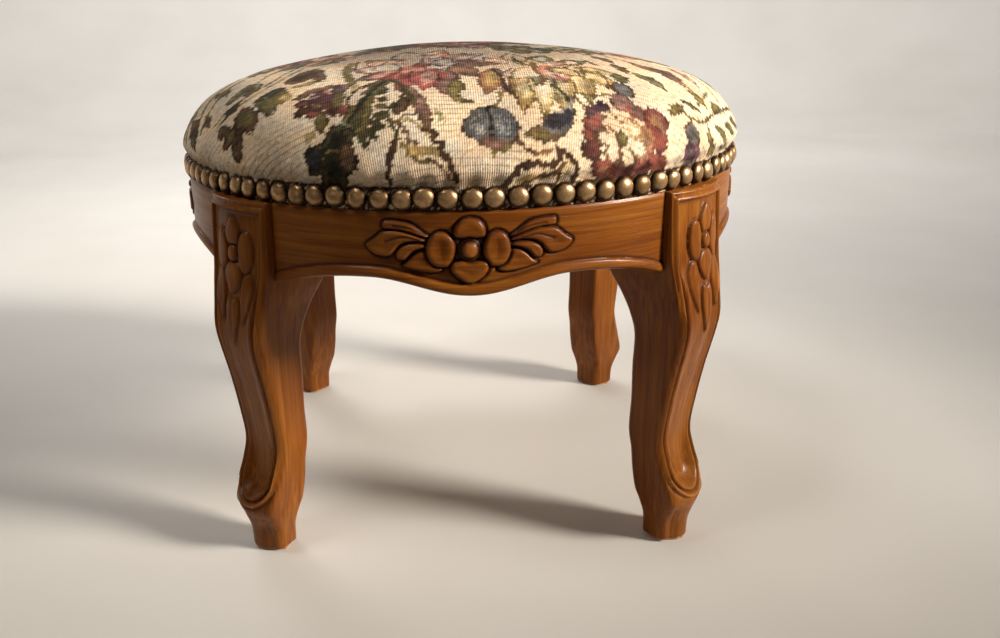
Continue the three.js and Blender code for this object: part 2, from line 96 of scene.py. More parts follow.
# Shaders: sockets that add up like numbers, and one way to make any other node
class Socket:
    """An output of a finish's node tree. Arithmetic on it adds Math nodes."""

    def __init__(self, finish, socket):
        self.finish = finish
        self.socket = socket

    def math(self, operation, *others):
        values = dict(enumerate((self, *others)))
        return self.finish.node("ShaderNodeMath", {"operation": operation}, values)

    def __add__(self, other):
        return self.math("ADD", other)

    def __sub__(self, other):
        return self.math("SUBTRACT", other)

    def __rsub__(self, other):
        return self.math("MULTIPLY", -1).math("ADD", other)

    def __mul__(self, other):
        return self.math("MULTIPLY", other)

    def __truediv__(self, other):
        return self.math("DIVIDE", other)

    def __pow__(self, other):
        return self.math("POWER", other)

    __radd__ = __add__

    def wave(self):
        """A wave from 0 to 1 with one crest for each whole number."""
        return (self * (2 * np.pi)).math("SINE") * 0.5 + 0.5

    def step(self, start, end):
        """0 below start, 1 above end, and smooth between them."""
        values = {0: self, 1: start, 2: end, 3: 0, 4: 1}
        return self.finish.node("ShaderNodeMapRange", {"interpolation_type": "SMOOTHSTEP"}, values)


class Finish:
    """A material with one Principled shader."""

    def __init__(self, name, **constants):
        self.material = bpy.data.materials.new(name)
        self.material.use_nodes = True
        self.tree = self.material.node_tree
        self.shader = self.tree.nodes["Principled BSDF"]
        for key, value in constants.items():
            self.shader.inputs[key.replace("_", " ")].default_value = value

    def node(self, kind, settings=None, values=None, output=0):
        made = self.tree.nodes.new(kind)
        for key, value in (settings or {}).items():
            if key == "stops":
                self.set_ramp(made.color_ramp, value)
            else:
                setattr(made, key, value)
        for key, value in (values or {}).items():
            self.feed(made.inputs[key], value)
        return Socket(self, made.outputs[output])

    def set_ramp(self, ramp, stops):
        while len(ramp.elements) < len(stops):
            ramp.elements.new(0.5)
        for element, (place, colour) in zip(ramp.elements, stops):
            element.position = place
            element.color = colour

    def feed(self, socket, value):
        if isinstance(value, Socket):
            self.tree.links.new(value.socket, socket)
        else:
            socket.default_value = value

    def mix(self, factor, a, b, blend="MIX"):
        settings = {"data_type": "RGBA", "blend_type": blend}
        return self.node("ShaderNodeMix", settings, {0: factor, 6: a, 7: b}, 2)

    def ramp(self, factor, *stops):
        return self.node("ShaderNodeValToRGB", {"stops": stops}, {0: factor})

    def attribute(self, name, output=2):
        """An attribute of the mesh: output 0 is its colour, 1 its vector and 2 its number."""
        return self.node("ShaderNodeAttribute", {"attribute_name": name}, output=output)

    def object_place(self):
        """Place on the object in millimetres."""
        place = self.node("ShaderNodeTexCoord", output=3)
        return self.scaled(place, 1 / MM)

    def scaled(self, vector, scale):
        """A vector times a scale, given as one number or as one for each axis."""
        scale = tuple(np.broadcast_to(scale, 3).tolist())
        return self.node("ShaderNodeMapping", values={"Vector": vector, "Scale": scale})

    def noise(self, vector, scale, detail=3, roughness=0.5, distortion=0):
        """Noise from 0 to 1, with scale features for each millimetre."""
        values = {"Vector": self.scaled(vector, scale), "Scale": 1, "Detail": detail,
                  "Roughness": roughness, "Distortion": distortion}
        return self.node("ShaderNodeTexNoise", values=values)

    def bump(self, height, distance, strength=1, under=None):
        """Bump whose full height is a distance in millimetres."""
        values = {"Height": height, "Distance": distance * MM, "Strength": strength}
        if under:
            values["Normal"] = under
        return self.node("ShaderNodeBump", values=values)

    def surface(self, **links):
        for key, value in links.items():
            self.feed(self.shader.inputs[key.replace("_", " ")], value)
        return self.material


def to_light(share):
    """Screen values from 0 to 1, as light."""
    return np.where(share < 0.04045, share / 12.92, ((share + 0.055) / 1.055) ** 2.4)


def linear(red, green, blue):
    """A colour given in screen values from 0 to 255, as light."""
    return (*to_light(np.array([red, green, blue]) / 255).tolist(), 1.0)


# Meshes
def add_mesh(name, points, faces):
    """A smooth mesh from points in millimetres."""
    mesh = bpy.data.meshes.new(name)
    mesh.from_pydata((points * MM).tolist(), [], faces)
    mesh.polygons.foreach_set("use_smooth", np.ones(len(faces), bool))
    return add_object(name, mesh)


def solid(name, points, faces, **attributes):
    """A closed mesh from points in millimetres. Its volume tells whether the faces point out,
    and they are turned round where it is negative."""
    points = np.asarray(points, float)
    volume = 0
    for corners in faces:
        places = points[corners]
        for k in range(1, corners.shape[1] - 1):
            cross = np.cross(places[:, k], places[:, k + 1])
            volume += (places[:, 0] * cross).sum()
    lists = [face for corners in faces
             for face in (corners if volume > 0 else corners[:, ::-1]).tolist()]
    obj = add_mesh(name, points, lists)
    for key, values in attributes.items():
        put_attribute(obj.data, key, values)
    return obj


def put_attribute(mesh, name, values):
    values = np.asarray(values, np.float32)
    if values.ndim == 1:
        kind, field = "FLOAT", "value"
    elif values.shape[1] == 3:
        kind, field = "FLOAT_VECTOR", "vector"
    else:
        kind, field = "FLOAT_COLOR", "color"
    made = mesh.attributes.new(name, kind, "POINT")
    made.data.foreach_set(field, values.ravel())


def ring_faces(count, size, first=0):
    """Quads between rings of so many points, each ring joined to the next."""
    index = first + np.arange(count * size).reshape(count, size)
    beside = np.roll(index, -1, axis=1)
    return np.stack([index[:-1], beside[:-1], beside[1:], index[1:]], -1).reshape(-1, 4)


def fan_faces(first, size, tip):
    """Triangles from a ring of points, which starts at the first one, to a tip."""
    around = np.arange(size)
    return np.stack([first + around, first + np.roll(around, -1), np.full(size, tip)], -1)


def lofted(name, rings, **attributes):
    """A solid through rings of points, (rings, points, 3). Its ends close with a fan of
    triangles round the middle of the end ring."""
    count, size, _ = rings.shape
    middles = rings[[0, -1]].mean(1)
    points = np.vstack([rings.reshape(-1, 3), middles])
    start_fan = fan_faces(0, size, count * size)[:, [1, 0, 2]]
    end_fan = fan_faces((count - 1) * size, size, count * size + 1)
    full = {}
    for key, values in attributes.items():
        flat = values.reshape(count * size, -1)
        ends = values[[0, -1]].reshape(2, size, -1).mean(1)
        full[key] = np.vstack([flat, ends]).squeeze()
    return solid(name, points, [ring_faces(count, size), start_fan, end_fan], **full)


def turned_rings(radius, height, turn):
    """Rings of points about the Z axis, one for each radius and its height."""
    r, z = radius[:, None], height[:, None]
    return np.stack([r * np.cos(turn), r * np.sin(turn), z + 0 * turn], -1)


def read_vectors(items, field):
    """Three numbers of every vertex or normal, one row for each."""
    values = np.zeros(len(items) * 3, np.float32)
    items.foreach_get(field, values)
    return values.reshape(-1, 3)


def move_vertices(mesh, places):
    mesh.vertices.foreach_set("co", places.astype(np.float32).ravel())


def apply_modifiers(obj):
    graph = bpy.context.evaluated_depsgraph_get()
    mesh = bpy.data.meshes.new_from_object(obj.evaluated_get(graph))
    obj.modifiers.clear()
    old, obj.data = obj.data, mesh
    bpy.data.meshes.remove(old)


def through(points, steps, closed=False):
    """A smooth line through points: each stretch is the cubic whose end slopes are half the
    step between the points on either side."""
    given = np.asarray(points, float)
    if closed:
        held = np.concatenate([given[-1:], given, given[:2]])
    else:
        held = np.concatenate([2 * given[:1] - given[1:2], given, 2 * given[-1:] - given[-2:-1]])
    share = (np.arange(steps) / steps)[:, None]
    a, b, c, d = (held[i:len(held) - 3 + i, None] for i in range(4))
    line = (b + share * (c - a) / 2 + share ** 2 * (2 * a - 5 * b + 4 * c - d) / 2
            + share ** 3 * (3 * b - a - 3 * c + d) / 2)
    line = line.reshape(-1, given.shape[1])
    return line if closed else np.vstack([line, given[-1]])


def smooth_step(value, start, end):
    """0 below start, 1 above end, and between them the cubic 3s^2 - 2s^3 of the share s."""
    share = np.clip((value - start) / (end - start), 0, 1)
    return share * share * (3 - 2 * share)


def ridge(value, half_width):
    """A bell, 1 at zero, that falls to 1/e at half_width on either side."""
    return np.exp(-(value / half_width) ** 2)


def distance_to(x, y, line):
    """Distance from each place to the nearest stretch of a line of points."""
    start, step = line[:-1], np.diff(line, axis=0)
    away_x, away_y = x[:, None] - start[:, 0], y[:, None] - start[:, 1]
    share = (away_x * step[:, 0] + away_y * step[:, 1]) / (step ** 2).sum(1).clip(1e-9)
    share = share.clip(0, 1)
    return np.hypot(away_x - share * step[:, 0], away_y - share * step[:, 1]).min(1)


def depth_inside(x, y, outline):
    """How far each place lies inside a closed outline, negative outside it. A place is inside
    where a line from it to the right crosses the outline an odd number of times."""
    line = np.vstack([outline, outline[:1]])
    ax, ay = line[:-1].T
    bx, by = line[1:].T
    crossed = (ay > y[:, None]) != (by > y[:, None])
    rise = np.where(by == ay, 1e-9, by - ay)
    right = x[:, None] < (bx - ax) * (y[:, None] - ay) / rise + ax
    inside = (crossed & right).sum(1) % 2 == 1
    away = distance_to(x, y, line)
    return np.where(inside, away, -away)


def places_near(x, y, line, margin):
    """Which places lie in the box round a line, widened by a margin."""
    (left, bottom), (right, top) = line.min(0) - margin, line.max(0) + margin
    return np.flatnonzero((x > left) & (x < right) & (y > bottom) & (y < top))


def oval(x, y, half_width, half_height, turn=0, points=16):
    """Points round an oval that is turned anticlockwise by so many degrees."""
    angle = np.linspace(0, 2 * np.pi, points, endpoint=False)
    across, up = half_width * np.cos(angle), half_height * np.sin(angle)
    c, s = np.cos(np.radians(turn)), np.sin(np.radians(turn))
    return np.stack([x + across * c - up * s, y + across * s + up * c], 1)


# Carving
CUT_REACH = 3
CUT_WIDTH = 0.8


class Carving:
    """Height in millimetres, and how much dark glaze lies, over flat places of a face."""

    def __init__(self, x, y):
        self.shape = x.shape
        self.x, self.y = x.ravel(), y.ravel()
        self.height = np.zeros(x.size)
        self.glaze = np.zeros(x.size)

    def lobe(self, outline, rise, edge, dish, cut):
        """A lobe: a quarter round climbs from its outline over the edge width, a dish sinks its
        middle, and a narrow groove runs round it."""
        line = through(outline, 4, closed=True)
        spots = places_near(self.x, self.y, line, CUT_REACH)
        depth = depth_inside(self.x[spots], self.y[spots], line)
        share = (depth / edge).clip(0, 1)
        plump = rise * np.sqrt(1 - (1 - share) ** 2) - dish * smooth_step(depth, edge, 3 * edge)
        groove = ridge(depth, CUT_WIDTH)
        self.height[spots] = np.where(depth > 0, plump, self.height[spots]) - cut * groove
        self.glaze[spots] = np.maximum(self.glaze[spots] * (depth < 0.5), groove)

    def vein(self, points, depth, width):
        """A groove along a line."""
        line = through(points, 5)
        spots = places_near(self.x, self.y, line, CUT_REACH)
        groove = ridge(distance_to(self.x[spots], self.y[spots], line), width)
        self.height[spots] -= depth * groove
        self.glaze[spots] = np.maximum(self.glaze[spots], 0.8 * groove)

    def sink(self, x, y, half_width, half_height, depth):
        """A hollow under the whole ornament, deepest in its middle."""
        far = np.hypot((self.x - x) / half_width, (self.y - y) / half_height)
        self.height -= depth * (1 - smooth_step(far, 0.6, 1))

    def result(self):
        return self.height.reshape(self.shape), self.glaze.reshape(self.shape)


# Aprons
FRAME_RADIUS = 164
NAIL_GAP = 0.3
LEDGE = low("nail_row") - NAIL_GAP
RAIL_TOP = high("apron_front")
RAIL_INNER = FRAME_RADIUS - 22
REBATE_RADIUS = FRAME_RADIUS - 2.4
POST_HALF = 23.75
JOINT_GAP = 0.3
APRON_PEAK = 170.2
APRON_MIDDLE = APRON_PEAK - 8.5
APRON_END = APRON_PEAK - 9.2
PEAK_SHARE = 0.48
FALL_POWER = 2.2
BEAD_WIDTH = 5.6
BEAD_PROUD = 1.5
QUIRK_OFFSET = 0.9
QUIRK_WIDTH = 0.8
QUIRK_GLAZE = 0.75
LOWER_ROUND = 0.9
UPPER_ROUND = 0.7
ROUND_WIDTH = 0.9
UNDER_SETBACK = 1.5
LEDGE_SETBACK = 1.4
APRON_WEAR_AND_HIGHLIGHT = (1.2, 2.6)
APRON_GRAIN = (40, 200)
ORNAMENT_SHIFT = -1.2
FLOWER_HEIGHT = 184.6
APRON_COLUMNS = 420
APRON_ROWS = 92
UNDER_ROWS = 8
TOP_ROWS = 4


def apron_edge(share):
    """Lower edge: a cosine swell from the middle to each peak, then a power fall to the end."""
    s = np.abs(share)
    swell = (1 - np.cos(np.pi * s / PEAK_SHARE)) / 2
    fall = ((s - PEAK_SHARE).clip(0) / (1 - PEAK_SHARE)) ** FALL_POWER
    inner = APRON_MIDDLE + (APRON_PEAK - APRON_MIDDLE) * swell
    return np.where(s < PEAK_SHARE, inner, APRON_PEAK - (APRON_PEAK - APRON_END) * fall)


UPPER_LOBE = [(17, 5.2), (22, 9), (26.6, 12.4), (32, 13.6), (38.6, 13.9), (40.2, 12), (39, 9.4),
              (32, 8.4), (24, 6.2)]
MIDDLE_LOBE = [(17.6, 3.6), (22.6, 6.4), (31, 9), (39.2, 8.9), (44.2, 5.4), (48.4, 2.2),
               (46, -1.2), (42, -3.2), (37, -3.4), (34.2, -1.2), (31.4, 2), (26.6, 3.5)]
CURLED_LOBE = [(17.6, 1.6), (21, 3.3), (26.8, 3.3), (31.6, 1.6), (34, -1.9), (32.8, -4.9),
               (29.4, -4.9), (26.2, -1.4), (22.6, 0.2)]
LOWER_LOBE = [(12.6, -8), (15.6, -3.6), (18.8, -0.2), (23, -0.2), (26.2, -2.2), (29.4, -5.2),
              (31.4, -7.6), (25, -9.8), (17.4, -11), (13, -10)]
LEAF_VEINS = [[(22, 7.8), (28, 10.6), (36, 11.6)], [(24, 5), (32, 6.4), (40, 4)]]
LEAF_SIZE = 1.04
SIDE_PETAL = [(-8.2, 6.6), (-12.6, 9.2), (-17.8, 7.8), (-20.8, 2.6), (-20.4, -3.6), (-16.4, -8.2),
              (-10.2, -8.2), (-7, -3.6), (-6.4, 1.4)]
TOP_PETAL = [(-7.4, 6.4), (-7.6, 10.4), (-4.8, 14.4), (0, 15.8), (4.8, 14.4), (7.6, 10.4),
             (7.4, 6.4), (3.6, 5.2), (-3.6, 5.2)]
FOOT_PETAL = [(-8.6, -6.2), (-4.8, -5), (0, -5.4), (4.8, -5), (8.6, -6.2), (9, -10.2),
              (5.6, -14.4), (0.2, -16.8), (-5.4, -14.4), (-9.2, -10.2)]


def placed(outline, x, y, size=1, flip=1):
    """An outline's points scaled, mirrored if flip is -1, and moved."""
    return [(x + flip * size * px, y + size * py) for px, py in outline]


def carve_apron(arc, height):
    """The ornament in the middle of a rail: four leaves to each side of a flower, whose four
    dished petals stand round a button in a dark ring."""
    x, y = ORNAMENT_SHIFT, FLOWER_HEIGHT
    carving = Carving(arc, height)
    carving.sink(x, y, half_width=60, half_height=20, depth=0.4)
    for flip in (1, -1):
        for leaf, rise in [(LOWER_LOBE, 1), (UPPER_LOBE, 1.2), (MIDDLE_LOBE, 1.4),
                           (CURLED_LOBE, 1.5)]:
            carving.lobe(placed(leaf, x, y, LEAF_SIZE, flip), rise, edge=2, dish=0.4, cut=0.7)
        for vein in LEAF_VEINS:
            carving.vein(placed(vein, x, y, 1, flip), depth=0.35, width=0.6)
    for petal, flip in [(SIDE_PETAL, 1), (SIDE_PETAL, -0.94), (TOP_PETAL, 1), (FOOT_PETAL, 1)]:
        carving.lobe(placed(petal, x, y, 1, flip), rise=1.6, edge=2.6, dish=0.6, cut=0.8)
    carving.lobe(oval(x, y, 5.6, 5.8), rise=0.8, edge=0.8, dish=0.6, cut=0.7)
    carving.lobe(oval(x, y, 4.3, 4.5), rise=2.2, edge=3.4, dish=0, cut=0.5)
    return carving.result()


def rail_half_turn(radius):
    """Angle from the middle of a rail to its end, where it meets the flat side of a post."""
    return np.pi / 4 - np.arcsin((POST_HALF + JOINT_GAP) / radius)


def make_apron(name, angle):
    """A curved rail. Columns follow the arc, and each column is a closed loop: the underside,
    the moulded and carved face, the ledge, the rebate, the top and the inner face."""
    share = np.linspace(-1, 1, APRON_COLUMNS)[:, None]
    edge = apron_edge(share)
    rise = np.linspace(0, 1, APRON_ROWS)[None, :]
    height = edge + rise * (LEDGE - edge)
    above = height - edge
    arc = share * rail_half_turn(FRAME_RADIUS) * FRAME_RADIUS + 0 * height
    carved, glaze = carve_apron(arc, height)
    bead = np.sqrt(1 - ((above - BEAD_WIDTH / 2) / (BEAD_WIDTH / 2)).clip(-1, 1) ** 2)
    quirk = ridge(above - BEAD_WIDTH - QUIRK_OFFSET, QUIRK_WIDTH)
    relief = np.maximum(BEAD_PROUD * bead - quirk, carved)
    relief = relief + np.minimum(carved, 0) * (above > BEAD_WIDTH)
    relief = relief - LOWER_ROUND * ridge(above, ROUND_WIDTH)
    relief = relief - UPPER_ROUND * ridge(LEDGE - height, ROUND_WIDTH)
    glaze = np.maximum(glaze, QUIRK_GLAZE * quirk * (carved < 0.4))
    down = np.linspace(1, 0, UNDER_ROWS)[None, :]
    inward = np.linspace(0.1, 1, TOP_ROWS)[None, :]
    ledge = np.array([[FRAME_RADIUS - LEDGE_SETBACK, REBATE_RADIUS]])
    parts = [
        (RAIL_INNER + (FRAME_RADIUS - UNDER_SETBACK - RAIL_INNER) * (1 - down), edge + 0 * down),
        (FRAME_RADIUS + relief, height),
        (ledge, LEDGE + 0 * (share + ledge)),
        (REBATE_RADIUS, LEDGE + (RAIL_TOP - LEDGE) * (1 - down) + 0 * share),
        (REBATE_RADIUS + (RAIL_INNER - REBATE_RADIUS) * inward, RAIL_TOP + 0 * (share + inward)),
        (RAIL_INNER, edge + (RAIL_TOP - edge) * down[:, 1:-1]),
    ]
    radius = np.concatenate([r + 0 * z for r, z in parts], 1)
    level = np.concatenate([z for _, z in parts], 1)
    half_turn = rail_half_turn(radius)
    turn = angle + share * half_turn
    rings = np.stack([radius * np.cos(turn), radius * np.sin(turn), level], -1)
    face = slice(UNDER_ROWS, UNDER_ROWS + APRON_ROWS)
    darkness, worn = np.zeros(radius.shape), np.zeros(radius.shape)
    darkness[:, face] = glaze
    # Raised relief is lighter: rubbed wear together with a painted highlight.
    worn[:, face] = smooth_step(relief, *APRON_WEAR_AND_HIGHLIGHT)
    across, along = APRON_GRAIN
    grain = np.stack([level + angle * across, radius,
                      share * half_turn * FRAME_RADIUS + angle * along], -1)
    return lofted(name, rings, glaze=darkness, grain=grain, worn=worn)


# Legs: stations up to the apron's peak, as shares of it, with the reach past the frame as a share
# of LEG_SWEEP, depth of POST_DEPTH, outer and inner half-width of POST_HALF, and corner and crown
LEG_SWEEP = 10
LEG_ROUND = 4
LEG_CROWN = 3
POST_DEPTH = 38
LEG_BASE = low("leg_front_left")
POST_INNER = FRAME_RADIUS - POST_DEPTH
LEG_STATION_SHARES = np.array([
    [0.000, 0.44, 0.47, 0.57, 0.46, 1.3, 1.5],
    [0.066, 0.49, 0.49, 0.59, 0.48, 1.3, 1.5],
    [0.119, 0.80, 0.63, 0.65, 0.52, 1.1, 1.3],
    [0.161, 1.02, 0.75, 0.70, 0.54, 0.8, 1.0],
    [0.233, 0.60, 0.70, 0.73, 0.56, 0.9, 0.8],
    [0.299, 0.19, 0.63, 0.74, 0.56, 1.0, 0.6],
    [0.370, -0.06, 0.62, 0.74, 0.56, 1.0, 0.6],
    [0.478, 0.15, 0.66, 0.76, 0.56, 1.0, 0.6],
    [0.597, 0.50, 0.76, 0.78, 0.56, 1.0, 0.7],
    [0.705, 0.90, 0.85, 0.81, 0.58, 1.0, 0.8],
    [0.776, 1.05, 0.96, 0.84, 0.62, 0.9, 0.8],
    [0.848, 0.88, 1.04, 0.89, 0.70, 0.7, 1.1],
    [0.920, 0.64, 1.10, 0.95, 0.88, 0.5, 1.3],
])
POST_REACH_SHARES = (0.41, 0.21)
PANEL_INSET = 4.4
PANEL_TOP = 197.4
TOE_MIDDLE = 45
TOE_RADIUS = 13
TOE_BLEND = (42, 70)
POST_BLEND = (150, 166)
PANEL_GROOVE = 0.7
PANEL_GROOVE_DEPTH = 1.1
PANEL_BEAD = -1.75
PANEL_BEAD_WIDTH = 1.15
OUTER_GROOVE = -3.4
OUTER_GROOVE_DEPTH = 0.5
SHOULDER = 2.2
SHOULDER_WIDTH = 1.5
HOLLOW_BLEND = (1.2, 8.5)
POST_FLOOR_BLEND = (0.2, 1.6)
POST_FLOOR_DEPTH = 1.3
PANEL_BLEND = (-0.6, 1.2)
EDGE_BLEND = 0.9
LIP_RADIUS = 1.2
FOOT_ROUND = 0.8
FOOT_ROUND_HEIGHT = 1.6
LEG_WEAR_AND_HIGHLIGHT = (0.5, 1.7)
LEG_GRAIN = (60, 300)
REBATE_CORNER = 0.3
KNEE_FLOWER = 175.2
KNEE_SHIFTS = (0, 2.4, 0.6, -0.5)
LEG_STEP = 0.6
FACE_STEPS = 40
CORNER_STEPS = 6
SIDE_STEPS = 12
BACK_STEPS = 5
KNEE_SIDE = [(-4.4, 3.6), (-5.6, 9.6), (-9.6, 12.4), (-13.4, 10), (-15, 3), (-14.2, -4.6),
             (-10.4, -10), (-6.2, -8.6), (-4.6, -3.4)]
KNEE_TOP = [(-4, 5), (-6.2, 10.6), (-3.8, 16), (0, 20), (3.8, 16), (6.2, 10.6), (4, 5), (0, 4.2)]
KNEE_FOOT = [(-4, -5), (-7.4, -9.6), (-6, -15.6), (0, -21.6), (6, -15.6), (7.4, -9.6), (4, -5),
             (0, -4.2)]
SIDE_LEAF = [(8, 164.6), (13, 166), (16, 160), (15, 151), (11.4, 143), (8, 137.6), (6.6, 146),
             (6.2, 155)]
DROP_VEIN = [(0, 150), (0.3, 140), (0, 130)]
DROP_LEAF = [(0, 151), (3.4, 152.6), (5.6, 147), (5, 139), (2.6, 131), (0, 125), (-2.6, 131),
             (-5, 139), (-5.6, 147), (-3.4, 152.6)]


def leg_table():
    """Height, outer reach, inner reach, outer and inner half-width, corner and crown, in rows
    up the leg: the stations, then the post at the apron's peak and at the ledge."""
    rise, reach, depth, outer, inner, corner, crown = LEG_STATION_SHARES.T
    out = FRAME_RADIUS + reach * LEG_SWEEP
    table = np.stack([LEG_BASE + rise * (APRON_PEAK - LEG_BASE), out, out - depth * POST_DEPTH,
                      outer * POST_HALF, inner * POST_HALF, corner * LEG_ROUND,
                      crown * LEG_CROWN], 1)
    post = [[height, FRAME_RADIUS + share * LEG_SWEEP, POST_INNER, POST_HALF, POST_HALF,
             0.4 * LEG_ROUND, 1.5 * LEG_CROWN]
            for height, share in zip((APRON_PEAK, LEDGE), POST_REACH_SHARES)]
    return np.vstack([table, post])


def leg_rings(outer, inner, outer_half, inner_half, corner, crown):
    """Rings across a leg, as reach and sideways place. The face falls from its crown with the
    square of the way to the corner, the corners are quarter rounds, the rest is straight."""
    t = np.linspace(0, 1, FACE_STEPS)
    turn = np.linspace(0, np.pi / 2, CORNER_STEPS + 1)[1:]
    s = np.linspace(0, 1, SIDE_STEPS + 1)[1:]
    b = np.linspace(0, 1, BACK_STEPS + 1)[1:]
    flat = outer_half - corner
    shoulder, heel = outer - corner, inner + corner
    parts = [
        (outer + crown * (1 - t ** 2), flat * t),
        (shoulder + corner * np.cos(turn), flat + corner * np.sin(turn)),
        (shoulder + (heel - shoulder) * s, outer_half + (inner_half - outer_half) * s),
        (heel - corner * np.sin(turn), inner_half - corner * (1 - np.cos(turn))),
        (inner + 0 * b, (inner_half - corner) * (1 - b)),
    ]
    reach = np.concatenate([u for u, _ in parts], 1)
    side = np.concatenate([w for _, w in parts], 1)
    return (np.concatenate([reach, reach[:, -2:0:-1]], 1),
            np.concatenate([side, -side[:, -2:0:-1]], 1))


def carve_leg(side, height, half, shift):
    """A panel down the face, with a U-shaped end at the toe and a square one at the top, between
    a groove and a bead, and a flower over leaves on the knee."""
    panel = half - PANEL_INSET
    below = ((TOE_MIDDLE - height) / TOE_RADIUS).clip(0)
    depth = (1 - np.hypot(side / panel, below)) * panel
    depth = np.minimum(depth, PANEL_TOP - height)
    on_post = smooth_step(height, *POST_BLEND)
    near_toe = 1 - smooth_step(height, *TOE_BLEND)
    groove = ridge(depth, PANEL_GROOVE)
    bead = ridge(depth - PANEL_BEAD, PANEL_BEAD_WIDTH)
    bead = bead - OUTER_GROOVE_DEPTH * ridge(depth - OUTER_GROOVE, PANEL_GROOVE)
    bead = bead * (1 + 0.7 * near_toe)
    shoulder = ridge(depth - SHOULDER, SHOULDER_WIDTH) * (0.5 + 0.5 * near_toe) * (1 - on_post)
    hollow = smooth_step(depth, *HOLLOW_BLEND) * (1.5 + 3.3 * near_toe) * (1 - on_post)
    floor = smooth_step(depth, *POST_FLOOR_BLEND) * POST_FLOOR_DEPTH * on_post
    relief = bead + shoulder - PANEL_GROOVE_DEPTH * groove - hollow - floor
    carving = Carving(side, height)
    for flip in (1, -1):
        carving.lobe(placed(SIDE_LEAF, shift, 0, 1, flip), rise=0.8, edge=4.2, dish=0, cut=0.35)
        carving.lobe(placed(KNEE_SIDE, shift, KNEE_FLOWER, 1, flip), rise=1.2, edge=4, dish=0.2,
                     cut=0.5)
    carving.lobe(placed(DROP_LEAF, shift, 0), rise=0.9, edge=4.2, dish=0, cut=0.35)
    carving.vein(placed(DROP_VEIN, shift, 0), depth=0.3, width=0.7)
    for petal in (KNEE_TOP, KNEE_FOOT):
        carving.lobe(placed(petal, shift, KNEE_FLOWER), rise=1.2, edge=4, dish=0.2, cut=0.5)
    carving.lobe(oval(shift, KNEE_FLOWER, 3.8, 4.6), rise=1.7, edge=3.2, dish=0, cut=0.4)
    carved, dark = carving.result()
    inside = smooth_step(depth, *PANEL_BLEND)
    relief = relief + (carved + 0.5 * (carved > 0.2)) * inside
    return relief, np.maximum(0.45 * dark * inside, 0.55 * groove)


def make_leg(name, angle, shift):
    """A cabriole leg with its post. Rings run up it, row by row, from the stations; its face
    carries the carving, and its top is cut back to the rebate."""
    table = through(leg_table(), 12)
    rows = np.append(np.arange(LEG_BASE, LEDGE - 1, LEG_STEP), LEDGE - np.array([1, 0.6, 0.3, 0]))
    columns = [np.interp(rows, table[:, 0], table[:, k])[:, None] for k in range(1, 7)]
    outer, _, outer_half = columns[:3]
    into_lip = (rows - LEDGE + LIP_RADIUS).clip(0) / LIP_RADIUS
    into_foot = (1 - (rows - LEG_BASE) / FOOT_ROUND_HEIGHT).clip(0)
    lip = LIP_RADIUS * (1 - np.sqrt(1 - into_lip ** 2))[:, None]
    foot = FOOT_ROUND * (1 - np.sqrt(1 - into_foot ** 2))[:, None]
    columns[0] = outer - lip - foot
    columns[2] = outer_half - foot
    reach, side = leg_rings(*columns)
    count = reach.shape[1]
    face = np.r_[0:FACE_STEPS + 2, count - FACE_STEPS - 1:count]
    height = rows[:, None] + 0 * reach
    relief, dark = carve_leg(side[:, face], height[:, face], outer_half + 0 * side[:, face], shift)
    fade = 1 - smooth_step(np.abs(side[:, face]), outer_half - EDGE_BLEND, outer_half)
    glaze, worn = np.zeros(reach.shape), np.zeros(reach.shape)
    glaze[:, face] = dark
    # Raised relief is lighter: rubbed wear together with a painted highlight.
    worn[:, face] = smooth_step(relief, *LEG_WEAR_AND_HIGHLIGHT)
    reach[:, face] += relief * fade
    corner_reach = np.sqrt(REBATE_RADIUS ** 2 - POST_HALF ** 2)
    post = (corner_reach, POST_INNER, POST_HALF, POST_HALF, REBATE_CORNER,
            REBATE_RADIUS - corner_reach)
    back, back_side = leg_rings(*(np.full((2, 1), float(value)) for value in post))
    reach, side = np.vstack([reach, back]), np.vstack([side, back_side])
    height = np.vstack([height, LEDGE + 0 * back[:1], RAIL_TOP + 0 * back[:1]])
    plain = np.zeros((2, count))
    c, s = np.cos(angle), np.sin(angle)
    rings = np.stack([reach * c - side * s, reach * s + side * c, height], -1)
    across, along = LEG_GRAIN
    grain = np.stack([reach + angle * across, side, height + angle * along], -1)
    return lofted(name, rings, glaze=np.vstack([glaze, plain]), grain=grain,
                  worn=np.vstack([worn, plain]))


# Dome nails
NAIL_COUNT = 94
NAIL_RADIUS = 5.5
NAIL_DOME = 3.5
NAIL_EDGE = 0.3
NAIL_BACK = 0.05
NAIL_BACK_SHARE = 0.93
DOME_POWERS = (2.3, 0.55)
NAIL_WANDER = 0.0022
NAIL_SIZE_SPREAD = 0.012
NAIL_LIFT_SPREAD = 0.28
NAIL_LEAN_SPREAD = 0.05
NAIL_HEIGHT = LEDGE + NAIL_GAP + NAIL_RADIUS
SKIRT_OUTER = REBATE_RADIUS + 1.3
NAIL_ROWS = 8
NAIL_SIDES = 20


